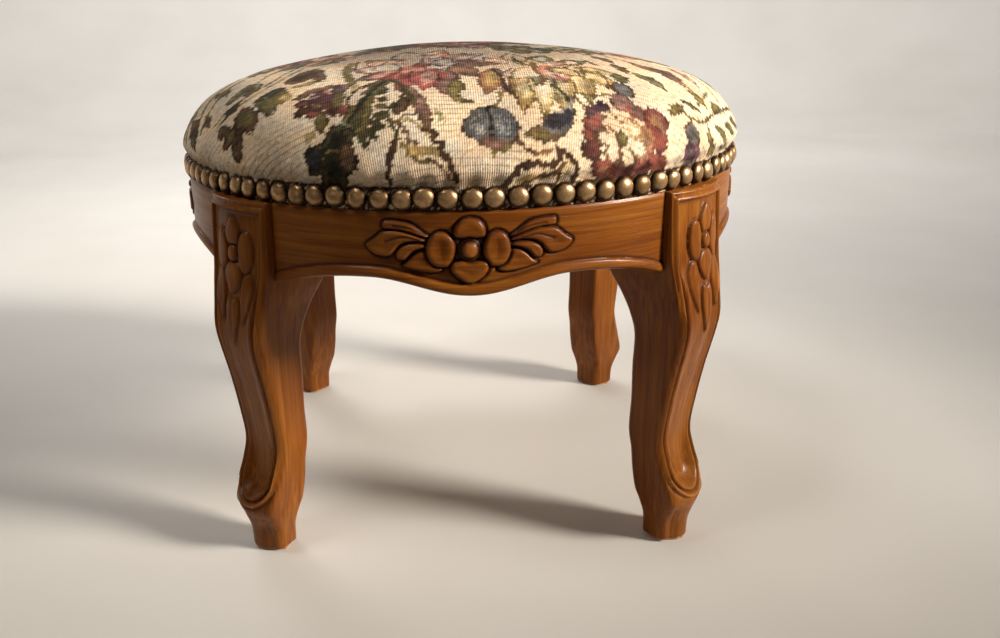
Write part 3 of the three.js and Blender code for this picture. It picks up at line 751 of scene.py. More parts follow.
def make_nails(rng):
    """Dome heads set side by side round the seat. Each is a cap whose height over its back
    follows a flattened circle of the share of its radius, closed by a flat back."""
    share = np.sin(np.linspace(0, np.pi / 2, NAIL_ROWS))[1:]
    turn = np.linspace(0, 2 * np.pi, NAIL_SIDES, endpoint=False)
    inner, outer = DOME_POWERS
    dome = (1 - share ** inner) ** outer
    across = NAIL_RADIUS * share[:, None] * np.cos(turn)
    upward = NAIL_RADIUS * share[:, None] * np.sin(turn)
    proud = np.broadcast_to((NAIL_EDGE + NAIL_DOME * dome)[:, None], across.shape)
    cap = np.stack([across, upward, proud], -1).reshape(-1, 3)
    rim = np.stack([across[-1] * NAIL_BACK_SHARE, upward[-1] * NAIL_BACK_SHARE,
                    np.full(NAIL_SIDES, NAIL_BACK)], -1)
    crown, back = [[0, 0, NAIL_EDGE + NAIL_DOME]], [[0, 0, NAIL_BACK]]
    head = np.vstack([crown, cap, rim, back])
    size = len(head)
    angle = (np.arange(NAIL_COUNT) + 0.5) / NAIL_COUNT * 2 * np.pi
    angle = angle + rng.normal(0, NAIL_WANDER, NAIL_COUNT)
    scale = rng.normal(1, NAIL_SIZE_SPREAD, NAIL_COUNT).clip(0.97, 1.02)
    lift = NAIL_HEIGHT + rng.normal(0, NAIL_LIFT_SPREAD, NAIL_COUNT).clip(-0.3, 0.6)
    lean = rng.normal(0, NAIL_LEAN_SPREAD, (2, NAIL_COUNT, 1))
    heads = np.broadcast_to(head, (NAIL_COUNT, size, 3)) * scale[:, None, None]
    out = SKIRT_OUTER + heads[..., 2] + heads[..., 0] * lean[0] + heads[..., 1] * lean[1]
    out = np.maximum(out, SKIRT_OUTER - 0.1)
    c, s = np.cos(angle)[:, None], np.sin(angle)[:, None]
    side = heads[..., 0]
    points = np.stack([out * c - side * s, out * s + side * c, lift[:, None] + heads[..., 1]], -1)
    rings = ring_faces(NAIL_ROWS, NAIL_SIDES, 1)
    crown_fan = fan_faces(1, NAIL_SIDES, 0)[:, ::-1]
    back_fan = fan_faces(1 + (NAIL_ROWS - 1) * NAIL_SIDES, NAIL_SIDES, size - 1)
    every = np.arange(NAIL_COUNT)[:, None, None] * size
    faces = [(every + part).reshape(-1, part.shape[1]) for part in (rings, crown_fan, back_fan)]
    low_part = 1 - smooth_step(head[:, 2], NAIL_EDGE + 0.3 * NAIL_DOME,
                               NAIL_EDGE + 0.95 * NAIL_DOME)
    # Darker towards the rim where the brass is tarnished, plus painted shade over the lower half of
    # each head.
    tarnish_and_lower_shade = low_part + 0.5 * smooth_step(-head[:, 1], -0.1 * NAIL_RADIUS, 0.8 * NAIL_RADIUS)
    tarnish = np.tile(tarnish_and_lower_shade.clip(0, 1), NAIL_COUNT)
    tone = np.repeat(rng.random(NAIL_COUNT), size)
    return solid("dome_nails", points.reshape(-1, 3), faces, tarnish=tarnish, tone=tone)


# Cushion
CUSHION_RADIUS = SKIRT_OUTER + 3
CUSHION_TOP = high("tapestry_cover")
HEM = low("tapestry_cover")
SKIRT_INNER = REBATE_RADIUS + 0.3
PAD_UNDERSIDE = high("seat_board") + 0.6
CUSHION_SHARES = [(0, 1), (0.16, 0.988), (0.3, 0.95), (0.44, 0.895), (0.57, 0.828), (0.73, 0.72),
                  (0.82, 0.624), (0.895, 0.491), (0.945, 0.343), (0.98, 0.178), (1, 0)]
CUSHION_COLUMNS = 1000
CLOTH_STEP = 1.05
SWELL_LIMIT = 0.9
DIMPLE_DEPTH = 0.4
DIMPLE_FADE = 9
WAVE_DEPTH = 0.3
WAVE_MIDDLE = 238
WAVE_HALF = 16
SIM_STEP = 5
SIM_COLUMNS = 180
SIM_INSET = 1.6
SIM_PRESSURE = 4
SIM_SHRINK = -0.012
SIM_FRAMES = 20
SIM_CAP = 2.4


def cushion_line(step):
    """Radius and height down the outside of the cushion at even steps, from its crown to the
    hem, with the distance along the cloth."""
    points = [(r * CUSHION_RADIUS, RAIL_TOP + z * (CUSHION_TOP - RAIL_TOP))
              for r, z in CUSHION_SHARES]
    points += [(SKIRT_OUTER, NAIL_HEIGHT + NAIL_RADIUS), (SKIRT_OUTER, HEM)]
    line = through(points, 30)
    away = np.append(0, np.hypot(*np.diff(line, axis=0).T).cumsum())
    even = np.linspace(0, away[-1], int(away[-1] / step))
    return np.interp(even, away, line[:, 0]), np.interp(even, away, line[:, 1]), even


def swollen_dome():
    """A coarse dome under the cover, blown up a little by a cloth simulation with its skirt
    held, so that it swells and creases as a stuffed cover does."""
    radius, height, _ = cushion_line(SIM_STEP)
    keep = height > NAIL_HEIGHT
    radius, height = radius[keep] - SIM_INSET, height[keep] - SIM_INSET
    radius[0] = 0
    turn = np.linspace(0, 2 * np.pi, SIM_COLUMNS, endpoint=False)
    dome = lofted("swollen_dome", turned_rings(radius[1:], height[1:], turn))
    remesh = dome.modifiers.new("even", "REMESH")
    remesh.mode = "VOXEL"
    remesh.voxel_size = SIM_STEP * MM
    apply_modifiers(dome)
    start = read_vectors(dome.data.vertices, "co")
    held = dome.vertex_groups.new(name="held")
    firm = np.flatnonzero(start[:, 2] < (NAIL_HEIGHT + 5) * MM)
    held.add(firm.tolist(), 1.0, "REPLACE")
    cloth = dome.modifiers.new("cloth", "CLOTH")
    cloth.settings.use_pressure = True
    cloth.settings.uniform_pressure_force = SIM_PRESSURE
    cloth.settings.vertex_group_mass = "held"
    cloth.settings.effector_weights.gravity = 0
    cloth.settings.tension_stiffness = 20
    cloth.settings.bending_stiffness = 0.5
    cloth.settings.shrink_min = SIM_SHRINK
    cloth.collision_settings.use_collision = False
    cloth.point_cache.frame_start = 1
    cloth.point_cache.frame_end = SIM_FRAMES
    for number in range(1, SIM_FRAMES + 1):
        bpy.context.scene.frame_set(number)
    apply_modifiers(dome)
    bpy.context.scene.frame_set(1)
    moved = read_vectors(dome.data.vertices, "co") - start
    far = np.linalg.norm(moved, axis=1, keepdims=True)
    capped = start + moved * np.minimum(1, SIM_CAP * MM / far.clip(1e-9))
    move_vertices(dome.data, capped)
    finer = dome.modifiers.new("finer", "SUBSURF")
    finer.levels = finer.render_levels = 2
    apply_modifiers(dome)
    return dome


def make_cushion(rng):
    """Rings from the crown down to the hem, up inside the skirt and in under the pad. Cloth
    places are the distance from the crown along the cloth, at the ring's angle."""
    radius, height, away = cushion_line(CLOTH_STEP)
    inside = np.array([(SKIRT_INNER, HEM), (SKIRT_INNER, 0.5 * (HEM + RAIL_TOP)),
                       (SKIRT_INNER, RAIL_TOP), (SKIRT_INNER - 1.5, PAD_UNDERSIDE),
                       (120, PAD_UNDERSIDE), (60, PAD_UNDERSIDE), (10, PAD_UNDERSIDE)])
    turn = np.linspace(0, 2 * np.pi, CUSHION_COLUMNS, endpoint=False) - np.pi / 2
    rings = turned_rings(np.append(radius[1:], inside[:, 0]),
                         np.append(height[1:], inside[:, 1]), turn)
    cloth_away = np.append(away[1:], np.full(len(inside), away[-1]))
    cloth = turned_rings(cloth_away, 0 * cloth_away, turn)
    pattern = np.ones((*cloth.shape[:2], 4))
    weave = weave_picture(cloth[..., 0].ravel(), cloth[..., 1].ravel(), rng)
    pattern[..., :3] = weave.reshape(cloth.shape)
    cushion = lofted("tapestry_cushion", rings, cloth=cloth, pattern=pattern)
    add_swell(cushion, len(radius) - 1)
    press_nails(cushion, len(radius) - 1)
    return cushion


def add_swell(cushion, rows):
    """Moves the cover by the unevenness of the simulated dome under it: how far each place is
    from the dome, less the mean of its ring, smoothed over the grid and limited."""
    dome = swollen_dome()
    before = read_vectors(cushion.data.vertices, "co")
    outward = read_vectors(cushion.data.vertex_normals, "vector")
    wrap = cushion.modifiers.new("wrap", "SHRINKWRAP")
    wrap.target = dome
    wrap.wrap_method = "NEAREST_SURFACEPOINT"
    apply_modifiers(cushion)
    moved = ((read_vectors(cushion.data.vertices, "co") - before) * outward).sum(1) / MM
    bpy.data.objects.remove(dome)
    outer = slice(rows * CUSHION_COLUMNS)
    grid = moved[outer].reshape(rows, CUSHION_COLUMNS)
    grid = grid - grid.mean(1, keepdims=True)
    for reach in (3, 6, 9):
        grid = np.mean([np.roll(grid, k, axis=1) for k in (-reach, 0, reach)], axis=0)
        padded = np.pad(grid, ((reach, reach), (0, 0)), "edge")
        grid = np.mean([padded[k:k + rows] for k in (0, reach, 2 * reach)], axis=0)
    height = before[outer, 2].reshape(grid.shape) / MM
    away = np.arange(rows)[:, None] * CLOTH_STEP
    share = smooth_step(height, RAIL_TOP + 2, RAIL_TOP + 18) * smooth_step(away, 12, 50)
    grid = SWELL_LIMIT * np.tanh(grid / SWELL_LIMIT) * share
    before[outer] += outward[outer] * grid.reshape(-1, 1) * MM
    move_vertices(cushion.data, before)


def press_nails(cushion, rows):
    """The cloth is drawn in between and above the nail heads: a dimple at each nail, which
    fades up the side of the cushion, and a slow unevenness all over."""
    mesh = cushion.data
    mesh.update()
    place = read_vectors(mesh.vertices, "co")
    outward = read_vectors(mesh.vertex_normals, "vector")
    turn = np.arctan2(place[:, 1], place[:, 0])
    height = place[:, 2] / MM
    spot = (turn / (2 * np.pi) * NAIL_COUNT) % 1 - 0.5
    pull = np.cos(2 * np.pi * spot) * ridge((height - NAIL_HEIGHT - 6).clip(0), DIMPLE_FADE)
    waves = np.sin(7 * turn + 1.3) + 0.7 * np.sin(13 * turn + 0.4) + 0.5 * np.sin(23 * turn + 2.2)
    side = smooth_step(height, NAIL_HEIGHT + 4, NAIL_HEIGHT + 16)
    side = side * ridge(height - WAVE_MIDDLE, WAVE_HALF)
    push = -DIMPLE_DEPTH * pull + WAVE_DEPTH * waves * side
    outer = np.arange(len(place)) < rows * CUSHION_COLUMNS
    push = np.where(outer & (height > NAIL_HEIGHT - 4), push, 0)
    move_vertices(mesh, place + outward * (push * MM)[:, None])
    mesh.update()


# Tapestry picture
STITCH = 1.2
STITCH_JITTER = 0.32
FLECKED_ABOVE = 0.92
NET_RIM = 2.4
NET_LIMIT = 0.42
CREAM = (238, 212, 180)
SAND = (220, 190, 156)
GOLD = (176, 146, 94)
STRAW = (206, 180, 134)
LICHEN = (160, 148, 112)
OLIVE = (112, 98, 58)
MOSS = (76, 68, 44)
YEW = (40, 38, 28)
NAVY = (54, 52, 60)
SLATE = (98, 95, 94)
MIST = (150, 146, 138)
UMBER = (72, 50, 34)
BROWN = (106, 80, 56)
RUST = (158, 114, 82)
BURGUNDY = (134, 74, 62)
WINE = (92, 52, 46)
MAUVE = (126, 94, 84)
PURPLE = (84, 56, 64)
CRIMSON = (164, 84, 76)
ROSE = (190, 138, 118)
BLUSH = (216, 184, 158)
SAGE = (126, 116, 86)
BAND_DEPTHS = (0, 1.3, 3.8)
HEM_SHADE = 190.5
CROWN_PAINTED_SHADE = 0.36


class Tapestry:
    """Colours over places on the cloth, in millimetres from the middle of the seat."""

    def __init__(self, x, y, colour, worked, turn=0, flip=1):
        c, s = np.cos(np.radians(turn)), np.sin(np.radians(turn))
        self.whole = (x, y)
        self.x = flip * (x * c + y * s)
        self.y = y * c - x * s
        self.colour = colour
        self.worked = worked

    def turned(self, degrees, flip=1):
        """The same cloth seen turned, so that a motif drawn on it lies elsewhere."""
        return Tapestry(*self.whole, self.colour, self.worked, degrees, flip)

    def stain(self, spots, colour):
        self.colour[spots] = colour
        self.worked[spots] = colour != CREAM

    def shape(self, outline, *colours):
        """A patch whose colours follow one another from its rim to its heart."""
        line = through(outline, 4, closed=True)
        spots = places_near(self.x, self.y, line, 1)
        depth = depth_inside(self.x[spots], self.y[spots], line)
        for start, colour in zip(BAND_DEPTHS, colours):
            self.stain(spots[depth > start], colour)

    def ovals(self, *rows):
        """Oval patches, each given as its middle, half-sizes, turn and colours."""
        for x, y, half_width, half_height, turn, *colours in rows:
            self.shape(oval(x, y, half_width, half_height, turn, 10), *colours)

    def lines(self, *rows):
        """Lines, each given as its width, its colour and the points it runs through."""
        for width, colour, *points in rows:
            line = through(points, 5)
            spots = places_near(self.x, self.y, line, width)
            on = distance_to(self.x[spots], self.y[spots], line) < width / 2
            self.stain(spots[on], colour)

    def leaves(self, bend, teeth, *rows):
        """Leaves that bend alike, each given as its stalk, tip, width and colours."""
        for start, end, width, *colours in rows:
            self.leaf(start, end, width, bend, teeth, *colours)

    def leaf(self, start, end, width, bend, teeth, *colours):
        """A leaf from its stalk to its tip: its half-width follows a half sine wave, with
        teeth on it, about a line that bends sideways."""
        start, end = np.array(start, float), np.array(end, float)
        along = end - start
        side = np.array([-along[1], along[0]]) / np.hypot(*along)
        t = np.linspace(0, 1, 15)[:, None]
        middle = start + along * t + side * bend * np.sin(np.pi * t)
        ripple = 1 + 0.22 * np.cos(2 * np.pi * teeth * t)
        half = side * width / 2 * np.sin(np.pi * t ** 0.8) * ripple
        self.shape(np.vstack([middle + half, (middle - half)[-2:0:-1]]), *colours)

    def net(self, outline, ground, mesh, step):
        """A patch of ground colour with a net of light yarn over it, but for its rim."""
        self.shape(outline, ground)
        line = through(outline, 4, closed=True)
        spots = places_near(self.x, self.y, line, 1)
        x, y = self.x[spots], self.y[spots]
        waves = np.sin((x + 0.6 * y) * 2 * np.pi / step) * np.sin((0.6 * x - y) * 2 * np.pi / step)
        inside = depth_inside(x, y, line) > NET_RIM
        self.stain(spots[inside & (np.abs(waves) > NET_LIMIT)], mesh)


def mottle(x, y, size, rng):
    """Soft blotches between -1 and 1: random values on a grid of this size, with the values
    between them eased from corner to corner by the smooth step of the share of the way."""
    column, row = np.floor(x / size).astype(int), np.floor(y / size).astype(int)
    across, up = smooth_step(x / size - column, 0, 1), smooth_step(y / size - row, 0, 1)
    count = 2 * max(np.abs(column).max(), np.abs(row).max()) + 5
    value = rng.uniform(-1, 1, (count, count))
    low_side = value[column, row] * (1 - across) + value[column + 1, row] * across
    high_side = value[column, row + 1] * (1 - across) + value[column + 1, row + 1] * across
    return low_side * (1 - up) + high_side * up


def weave_picture(x, y, rng):
    """Colour of the cloth at each place: the ground, then every motif, all read at the middle
    of the stitch that holds the place. Worked parts are mottled, and yarn differs a little.
    Painted shade darkens the crown of the seat, and the cloth round the hem under and between the nail
    heads."""
    column, row = np.round(x / STITCH).astype(int), np.round(y / STITCH).astype(int)
    count = 2 * max(np.abs(column).max(), np.abs(row).max()) + 3
    jitter = rng.normal(0, STITCH_JITTER, (2, count, count))
    stitch_x = column * STITCH + jitter[0, column, row]
    stitch_y = row * STITCH + jitter[1, column, row]
    colour = np.tile(np.array(CREAM, float), (len(x), 1))
    worked = np.zeros(len(x), bool)
    fleck = rng.random((count, count))[column, row]
    colour[fleck > FLECKED_ABOVE] = SAND
    cloth = Tapestry(stitch_x, stitch_y, colour, worked)
    draw_motifs(cloth)
    # Painted shade: umber stitches on the cloth round the hem, under and between the nail heads.
    hem = np.hypot(x, y) > HEM_SHADE
    cloth.stain(np.flatnonzero(hem & (fleck < 0.75)), UMBER)
    tone = 1 + 0.10 * mottle(stitch_x, stitch_y, 26, rng) * (1 - worked)
    tone += (0.26 * mottle(stitch_x, stitch_y, 5, rng)
             + 0.16 * mottle(stitch_x, stitch_y, 2.6, rng)) * worked
    tone += rng.normal(0, 0.06, (count, count))[column, row]
    # Painted shade: the crown of the seat is darkened.
    tone -= CROWN_PAINTED_SHADE * (1 - smooth_step(np.hypot(x, y), 50, 130))
    warm = 0.05 * mottle(stitch_x, stitch_y, 9, rng)[:, None] * np.array([1, 0, -1])
    return to_light((colour * (tone[:, None] + warm) / 255).clip(0, 1))


def draw_motifs(cloth):
    """The motifs of the near half, the same ones turned and mirrored for the far half with a
    few more between, and a wreath in the middle of the seat."""
    motifs = (draw_left_sweep, draw_right_sweep, draw_far_blossoms, draw_big_rose,
              draw_gold_flower, draw_burgundy_flower, draw_stem_leaf, draw_dark_cluster,
              draw_oak_leaf, draw_brown_leaf, draw_scroll_leaf, draw_netted_leaf,
              draw_navy_leaf, draw_right_flower, draw_right_sprigs)
    for half in (cloth.turned(183, -1), cloth):
        for draw in motifs:
            draw(half)
    draw_wreath(cloth)


def draw_left_sweep(cloth):
    """Long olive stems that climb the left side, with dark leaves between them."""
    cloth.shape([(-104, -40), (-98, -44), (-88, -42), (-82, -34), (-88, -22), (-98, -26)],
                MOSS, SAGE)
    cloth.lines(
        (3.4, LICHEN, (-136, -99), (-124, -94), (-110, -88), (-99, -76), (-92, -60), (-84, -40)),
        (1.6, MOSS, (-137, -94), (-126, -89), (-113, -83), (-103, -72), (-97, -56), (-90, -40)),
        (2.4, OLIVE, (-150, -84), (-141, -70), (-132, -54), (-122, -38), (-110, -20)),
        (2, MOSS, (-154, -80), (-147, -62), (-138, -44), (-128, -26)),
        (2.4, OLIVE, (-168, -64), (-161, -44), (-152, -26), (-140, -8)),
        (2, SAGE, (-174, -60), (-169, -38), (-160, -16), (-150, 0)),
        (1.8, OLIVE, (-112, -64), (-108, -50), (-100, -36)))
    cloth.leaf((-157, -58), (-160, -90), 12, 2, 3, UMBER, BROWN)
    cloth.leaf((-146, -72), (-142, -91), 6, 1, 2, BROWN, MOSS)
    cloth.shape([(-130, -78), (-125, -70), (-119, -63), (-112, -64), (-108, -72), (-110, -80),
                 (-116, -84), (-120, -80), (-126, -84)], MOSS, SAGE, MOSS)
    cloth.leaf((-119, -86), (-131, -98), 8, 1, 2, UMBER, MOSS)
    cloth.shape([(-95, -84), (-93, -74), (-88, -64), (-80, -59), (-75, -66), (-73, -78), (-71, -90),
                 (-77, -93), (-80, -86), (-87, -90)], MOSS, BROWN, UMBER)
    cloth.leaf((-90, -96), (-72, -95), 6, 1, 2, OLIVE, LICHEN)
    cloth.leaf((-140, -50), (-130, -66), 9, 2, 3, MOSS, OLIVE)
    cloth.leaf((-166, -30), (-172, -52), 9, 2, 2, BROWN, OLIVE)
    cloth.leaf((-152, -40), (-158, -62), 8, -2, 3, MOSS, LICHEN)
    cloth.leaf((-126, -12), (-118, -40), 12, 3, 3, MOSS, SAGE)
    cloth.leaf((-148, -4), (-140, -30), 11, -3, 3, MOSS, OLIVE)


def draw_oak_leaf(cloth):
    """A lobed brown leaf, and a darker two-lobed one beside it, with light gaps between."""
    cloth.shape([(-136, -102), (-131, -100), (-127, -105), (-124, -110), (-121, -102), (-116, -98),
                 (-111, -103), (-107, -111), (-108, -119), (-112, -125), (-117, -119), (-119, -123),
                 (-121, -131), (-126, -133), (-129, -127), (-127, -120), (-132, -120), (-134, -115),
                 (-131, -112), (-135, -109)], UMBER, BROWN)
    cloth.shape([(-121, -112), (-120, -104), (-116, -101), (-112, -105), (-110, -113), (-113, -118),
                 (-118, -117)], BROWN, OLIVE)
    cloth.lines(
        (1.7, UMBER, (-122, -103), (-122, -113), (-124, -127)),
        (1.4, OLIVE, (-133, -104), (-129, -110), (-126, -118)))
    cloth.shape([(-111, -98), (-105, -93), (-99, -90), (-94, -93), (-91, -99), (-90, -107), (-93, -114),
                 (-96, -112), (-98, -118), (-101, -120), (-105, -113), (-108, -106)], MOSS, OLIVE)
    cloth.shape([(-110, -97), (-104, -92), (-97, -89), (-93, -93), (-97, -98), (-104, -100)],
                UMBER, MOSS)
    cloth.lines((1.5, SAGE, (-104, -98), (-100, -106), (-99, -115)))
    cloth.leaf((-93, -101), (-89, -113), 5, 0, 0, GOLD, LICHEN)


def draw_burgundy_flower(cloth):
    """A burgundy and plum flower with notched petals, an olive bract and a cream edge."""
    cloth.ovals(
        (-83, -112, 4.6, 3.4, 20, UMBER, BROWN), (-77, -108, 6, 3.2, 0, BROWN, MAUVE),
        (-68, -107, 7, 3.4, -5, BROWN, MAUVE), (-62, -112, 4.5, 6, 0, BROWN, MAUVE),
        (-82, -120, 5, 3.6, -15, UMBER, BURGUNDY), (-83, -127, 4.6, 3.6, 15, UMBER),
        (-76, -131, 4.4, 4, 0, WINE, BURGUNDY), (-72, -121, 8, 11, 0, UMBER, PURPLE),
        (-66, -132, 4, 8, 12, WINE, UMBER), (-63, -125, 3.4, 8, 0, BROWN, OLIVE),
        (-61, -137, 2.6, 5, 10, BURGUNDY), (-70, -140, 2.4, 4, 0, WINE))
    cloth.lines(
        (2, ROSE, (-79, -116), (-75, -117)), (2, ROSE, (-77, -124), (-73, -127)),
        (2, ROSE, (-70, -111), (-68, -116)),
        (1.7, WINE, (-72, -113), (-71, -122), (-68, -132)))
    cloth.shape([(-76, -136), (-72, -133), (-69, -137), (-69, -143), (-73, -147), (-76, -143)],
                MOSS, OLIVE)


def draw_stem_leaf(cloth):
    """The long olive leaf that climbs from the dark cluster, feathered on its right side."""
    cloth.shape([(-64, -149), (-60, -141), (-57, -133), (-55, -125), (-50, -117), (-44, -110),
                 (-38, -108), (-36, -113), (-40, -121), (-44, -131), (-46, -141), (-48, -151),
                 (-52, -156), (-58, -154)], MOSS, OLIVE, MOSS)
    cloth.shape([(-57, -135), (-56, -127), (-52, -120), (-48, -118), (-50, -126), (-53, -133)], CREAM)
    cloth.lines(
        (2.2, YEW, (-59, -148), (-53, -138), (-47, -126), (-40, -112)),
        (1.8, UMBER, (-58, -137), (-58, -127), (-54, -119), (-48, -113)),
        (1.6, OLIVE, (-50, -146), (-46, -134), (-41, -122)),
        (1.6, SAGE, (-62, -146), (-57, -151), (-55, -156)),
        (1.8, BROWN, (-52, -127), (-49, -122), (-46, -116)))
    feathers = [((-44, -133), (-38, -137)), ((-45, -139), (-38, -144)), ((-46, -145), (-38, -151)),
                ((-48, -149), (-40, -157)), ((-50, -152), (-45, -162)), ((-54, -154), (-50, -165)),
                ((-44, -126), (-38, -129))]
    cloth.leaves(0, 0, *((*feather, 4.2, MOSS) for feather in feathers))


def draw_dark_cluster(cloth):
    """A black-green leaf cluster by the hem, with a brown lobe and a navy one."""
    cloth.shape([(-61, -147), (-66, -145), (-71, -148), (-73, -152), (-80, -151), (-85, -155),
                 (-84, -161), (-86, -166), (-79, -168), (-83, -173), (-80, -179), (-73, -177),
                 (-69, -180), (-64, -174), (-58, -172), (-56, -166), (-58, -160), (-55, -154)],
                YEW, MOSS, YEW)
    cloth.shape([(-84, -156), (-78, -153), (-75, -158), (-77, -165), (-83, -164)], YEW, NAVY)
    cloth.shape([(-64, -158), (-58, -160), (-57, -167), (-61, -173), (-66, -168)], UMBER, BROWN)
    cloth.lines(
        (1.6, YEW, (-62, -150), (-67, -158), (-71, -166), (-74, -176)),
        (1.4, OLIVE, (-66, -160), (-70, -158), (-74, -160)))
    cloth.leaf((-77, -143), (-82, -150), 5, 0, 0, LICHEN, GOLD)


def draw_brown_leaf(cloth):
    """The pointed mauve-brown leaf under the rose, with its olive upper edge."""
    cloth.shape([(-34, -116), (-28, -122), (-23, -132), (-19, -144), (-18, -154), (-20, -160),
                 (-24, -154), (-27, -145), (-30, -135), (-33, -126)], BROWN, MAUVE)
    cloth.lines(
        (3, MOSS, (-38, -108), (-33, -118), (-29, -130), (-25, -142)),
        (1.6, UMBER, (-33, -118), (-31, -130), (-33, -140)))
    cloth.leaf((-16, -146), (-12, -158), 3, 0, 3, LICHEN)


def draw_scroll_leaf(cloth):
    """A scrolled outline leaf in brown and gold that runs down to the hem."""
    cloth.shape([(-34, -138), (-30, -136), (-28, -141), (-30, -147), (-35, -150), (-37, -145)],
                UMBER, BROWN)
    cloth.lines(
        (2, MOSS, (-36, -140), (-39, -147), (-38, -154), (-35, -160), (-37, -168), (-41, -176),
         (-43, -186)),
        (3.4, UMBER, (-37, -164), (-40, -172), (-43, -180)),
        (2, BROWN, (-37, -152), (-32, -157), (-30, -164), (-26, -167)),
        (2.2, GOLD, (-33, -152), (-28, -154), (-24, -158), (-21, -163)),
        (4.6, GOLD, (-31, -168), (-25, -171), (-18, -172)),
        (2.6, OLIVE, (-33, -166), (-28, -174), (-22, -176)),
        (3, UMBER, (-22, -160), (-18, -162), (-18, -167), (-14, -168), (-15, -173), (-11, -176),
         (-10, -181), (-8, -187)),
        (2, BROWN, (-20, -176), (-15, -180), (-12, -186)),
        (1.6, BROWN, (-30, -150), (-25, -150), (-20, -156)),
        (3, STRAW, (47, -186), (50, -181), (49, -175)),
        (3, GOLD, (25, -188), (30, -184), (37, -184)),
        (3.4, UMBER, (18, -192), (21, -184), (26, -179), (33, -177), (40, -177), (44, -173),
         (43, -168)),
        (3, UMBER, (43, -168), (48, -170), (53, -174), (55, -180), (53, -190)),
        (2.4, BROWN, (28, -190), (33, -184), (40, -182), (45, -178), (47, -174)),
        (2.4, UMBER, (40, -190), (45, -186), (47, -181)))


def draw_netted_leaf(cloth):
    """A round slate leaf in two halves, each filled with a net of light yarn."""
    cloth.shape([(-4, -162), (-2, -154), (2, -148), (8, -145), (14, -146), (19, -149), (22, -154),
                 (24, -161), (22, -167), (17, -170), (11, -169), (5, -170), (0, -166)],
                UMBER, SLATE)
    cloth.net([(-3, -161), (-1, -153), (4, -147), (8, -147), (9, -155), (9, -165), (3, -167)],
              SLATE, MIST, 5.2)
    cloth.net([(11, -165), (11, -154), (14, -148), (19, -150), (22, -157), (22, -164), (16, -168)],
              SLATE, MIST, 4.8)
    cloth.lines((1.8, YEW, (9, -146), (10, -156), (10, -169)))
    cloth.shape([(3, -168), (10, -165), (18, -168), (20, -171), (12, -172), (6, -171)], BROWN, MAUVE)
    cloth.lines(
        (2, OLIVE, (10, -174), (14, -173), (18, -170)), (2, OLIVE, (15, -132), (16, -139), (13, -145)))


def draw_navy_leaf(cloth):
    """A curved leaf, navy above and olive-brown below, with a stroke under it."""
    cloth.shape([(50, -138), (52, -145), (51, -153), (47, -160), (41, -165), (33, -167), (26, -163),
                 (30, -160), (34, -157), (36, -152), (42, -148), (47, -144)], MOSS, SLATE)
    cloth.shape([(49, -142), (50, -149), (46, -156), (39, -159), (35, -156), (38, -151), (44, -147)],
                NAVY)
    cloth.shape([(28, -163), (34, -159), (41, -161), (45, -159), (40, -165), (33, -166)], BROWN, OLIVE)
    cloth.lines(
        (1.6, MIST, (51, -136), (48, -143), (43, -148)),
        (2.2, BROWN, (23, -167), (27, -171), (33, -172), (39, -170)),
        (1.6, BROWN, (52, -134), (56, -138), (60, -141)))


def draw_big_rose(cloth):
    """A full-blown rose: crimson in front, blush and brown petals behind, and plum at its
    right side, over a hooked olive leaf."""
    cloth.leaves(2, 0,
        ((-16, -72), (-8, -44), 15, BROWN, ROSE, BLUSH),
        ((-24, -72), (-30, -42), 15, MAUVE, BLUSH, CREAM),
        ((-10, -78), (14, -60), 15, MAUVE, ROSE, BLUSH),
        ((-30, -78), (-52, -58), 15, MAUVE, BLUSH, CREAM),
        ((-32, -86), (-60, -80), 15, MAUVE, ROSE, BLUSH),
        ((-30, -92), (-58, -104), 14, BROWN, MAUVE, ROSE),
        ((-8, -86), (20, -88), 15, BROWN, RUST, MAUVE), ((-8, -92), (6, -112), 13, BROWN, MAUVE, RUST),
        ((-14, -94), (-11, -136), 14, WINE, MAUVE),
        ((-24, -94), (-46, -114), 15, MAUVE, BURGUNDY, CRIMSON),
        ((-22, -94), (-35, -128), 15, BURGUNDY, CRIMSON),
        ((-18, -92), (-22, -131), 14, BURGUNDY, CRIMSON, ROSE))
    cloth.ovals(
        (-38, -84, 9, 8, 0, ROSE, CREAM), (-24, -74, 8, 10, 0, ROSE, CREAM),
        (-9, -82, 8, 9, 0, MAUVE, BLUSH), (-45, -70, 6, 8, -10, MAUVE, BLUSH),
        (-26, -94, 8, 9, 0, CRIMSON, ROSE), (-21, -85, 5, 6, 0, BURGUNDY, CRIMSON))
    cloth.lines(
        (1.6, BROWN, (-38, -74), (-33, -84), (-32, -96)),
        (1.6, BROWN, (-20, -68), (-21, -80), (-19, -92)),
        (1.6, WINE, (-26, -96), (-28, -106), (-27, -118)),
        (1.8, ROSE, (-34, -100), (-35, -108)), (1.6, BROWN, (-6, -74), (-4, -86), (-8, -98)),
        (1.6, WINE, (-13, -104), (-13, -118)), (5, OLIVE, (-60, -62), (-61, -84), (-57, -108)),
        (2, UMBER, (-56, -60), (-57, -80)), (3.4, STRAW, (-55, -112), (-55, -120)),
        (5, MOSS, (-44, -116), (-40, -126)),
        (3, MOSS, (-46, -112), (-50, -122), (-51, -132)))
    cloth.shape([(-6, -112), (-2, -118), (-1, -128), (-4, -134), (-1, -139), (3, -141), (-2, -143),
                 (-8, -139), (-10, -131), (-8, -121)], MOSS, OLIVE)


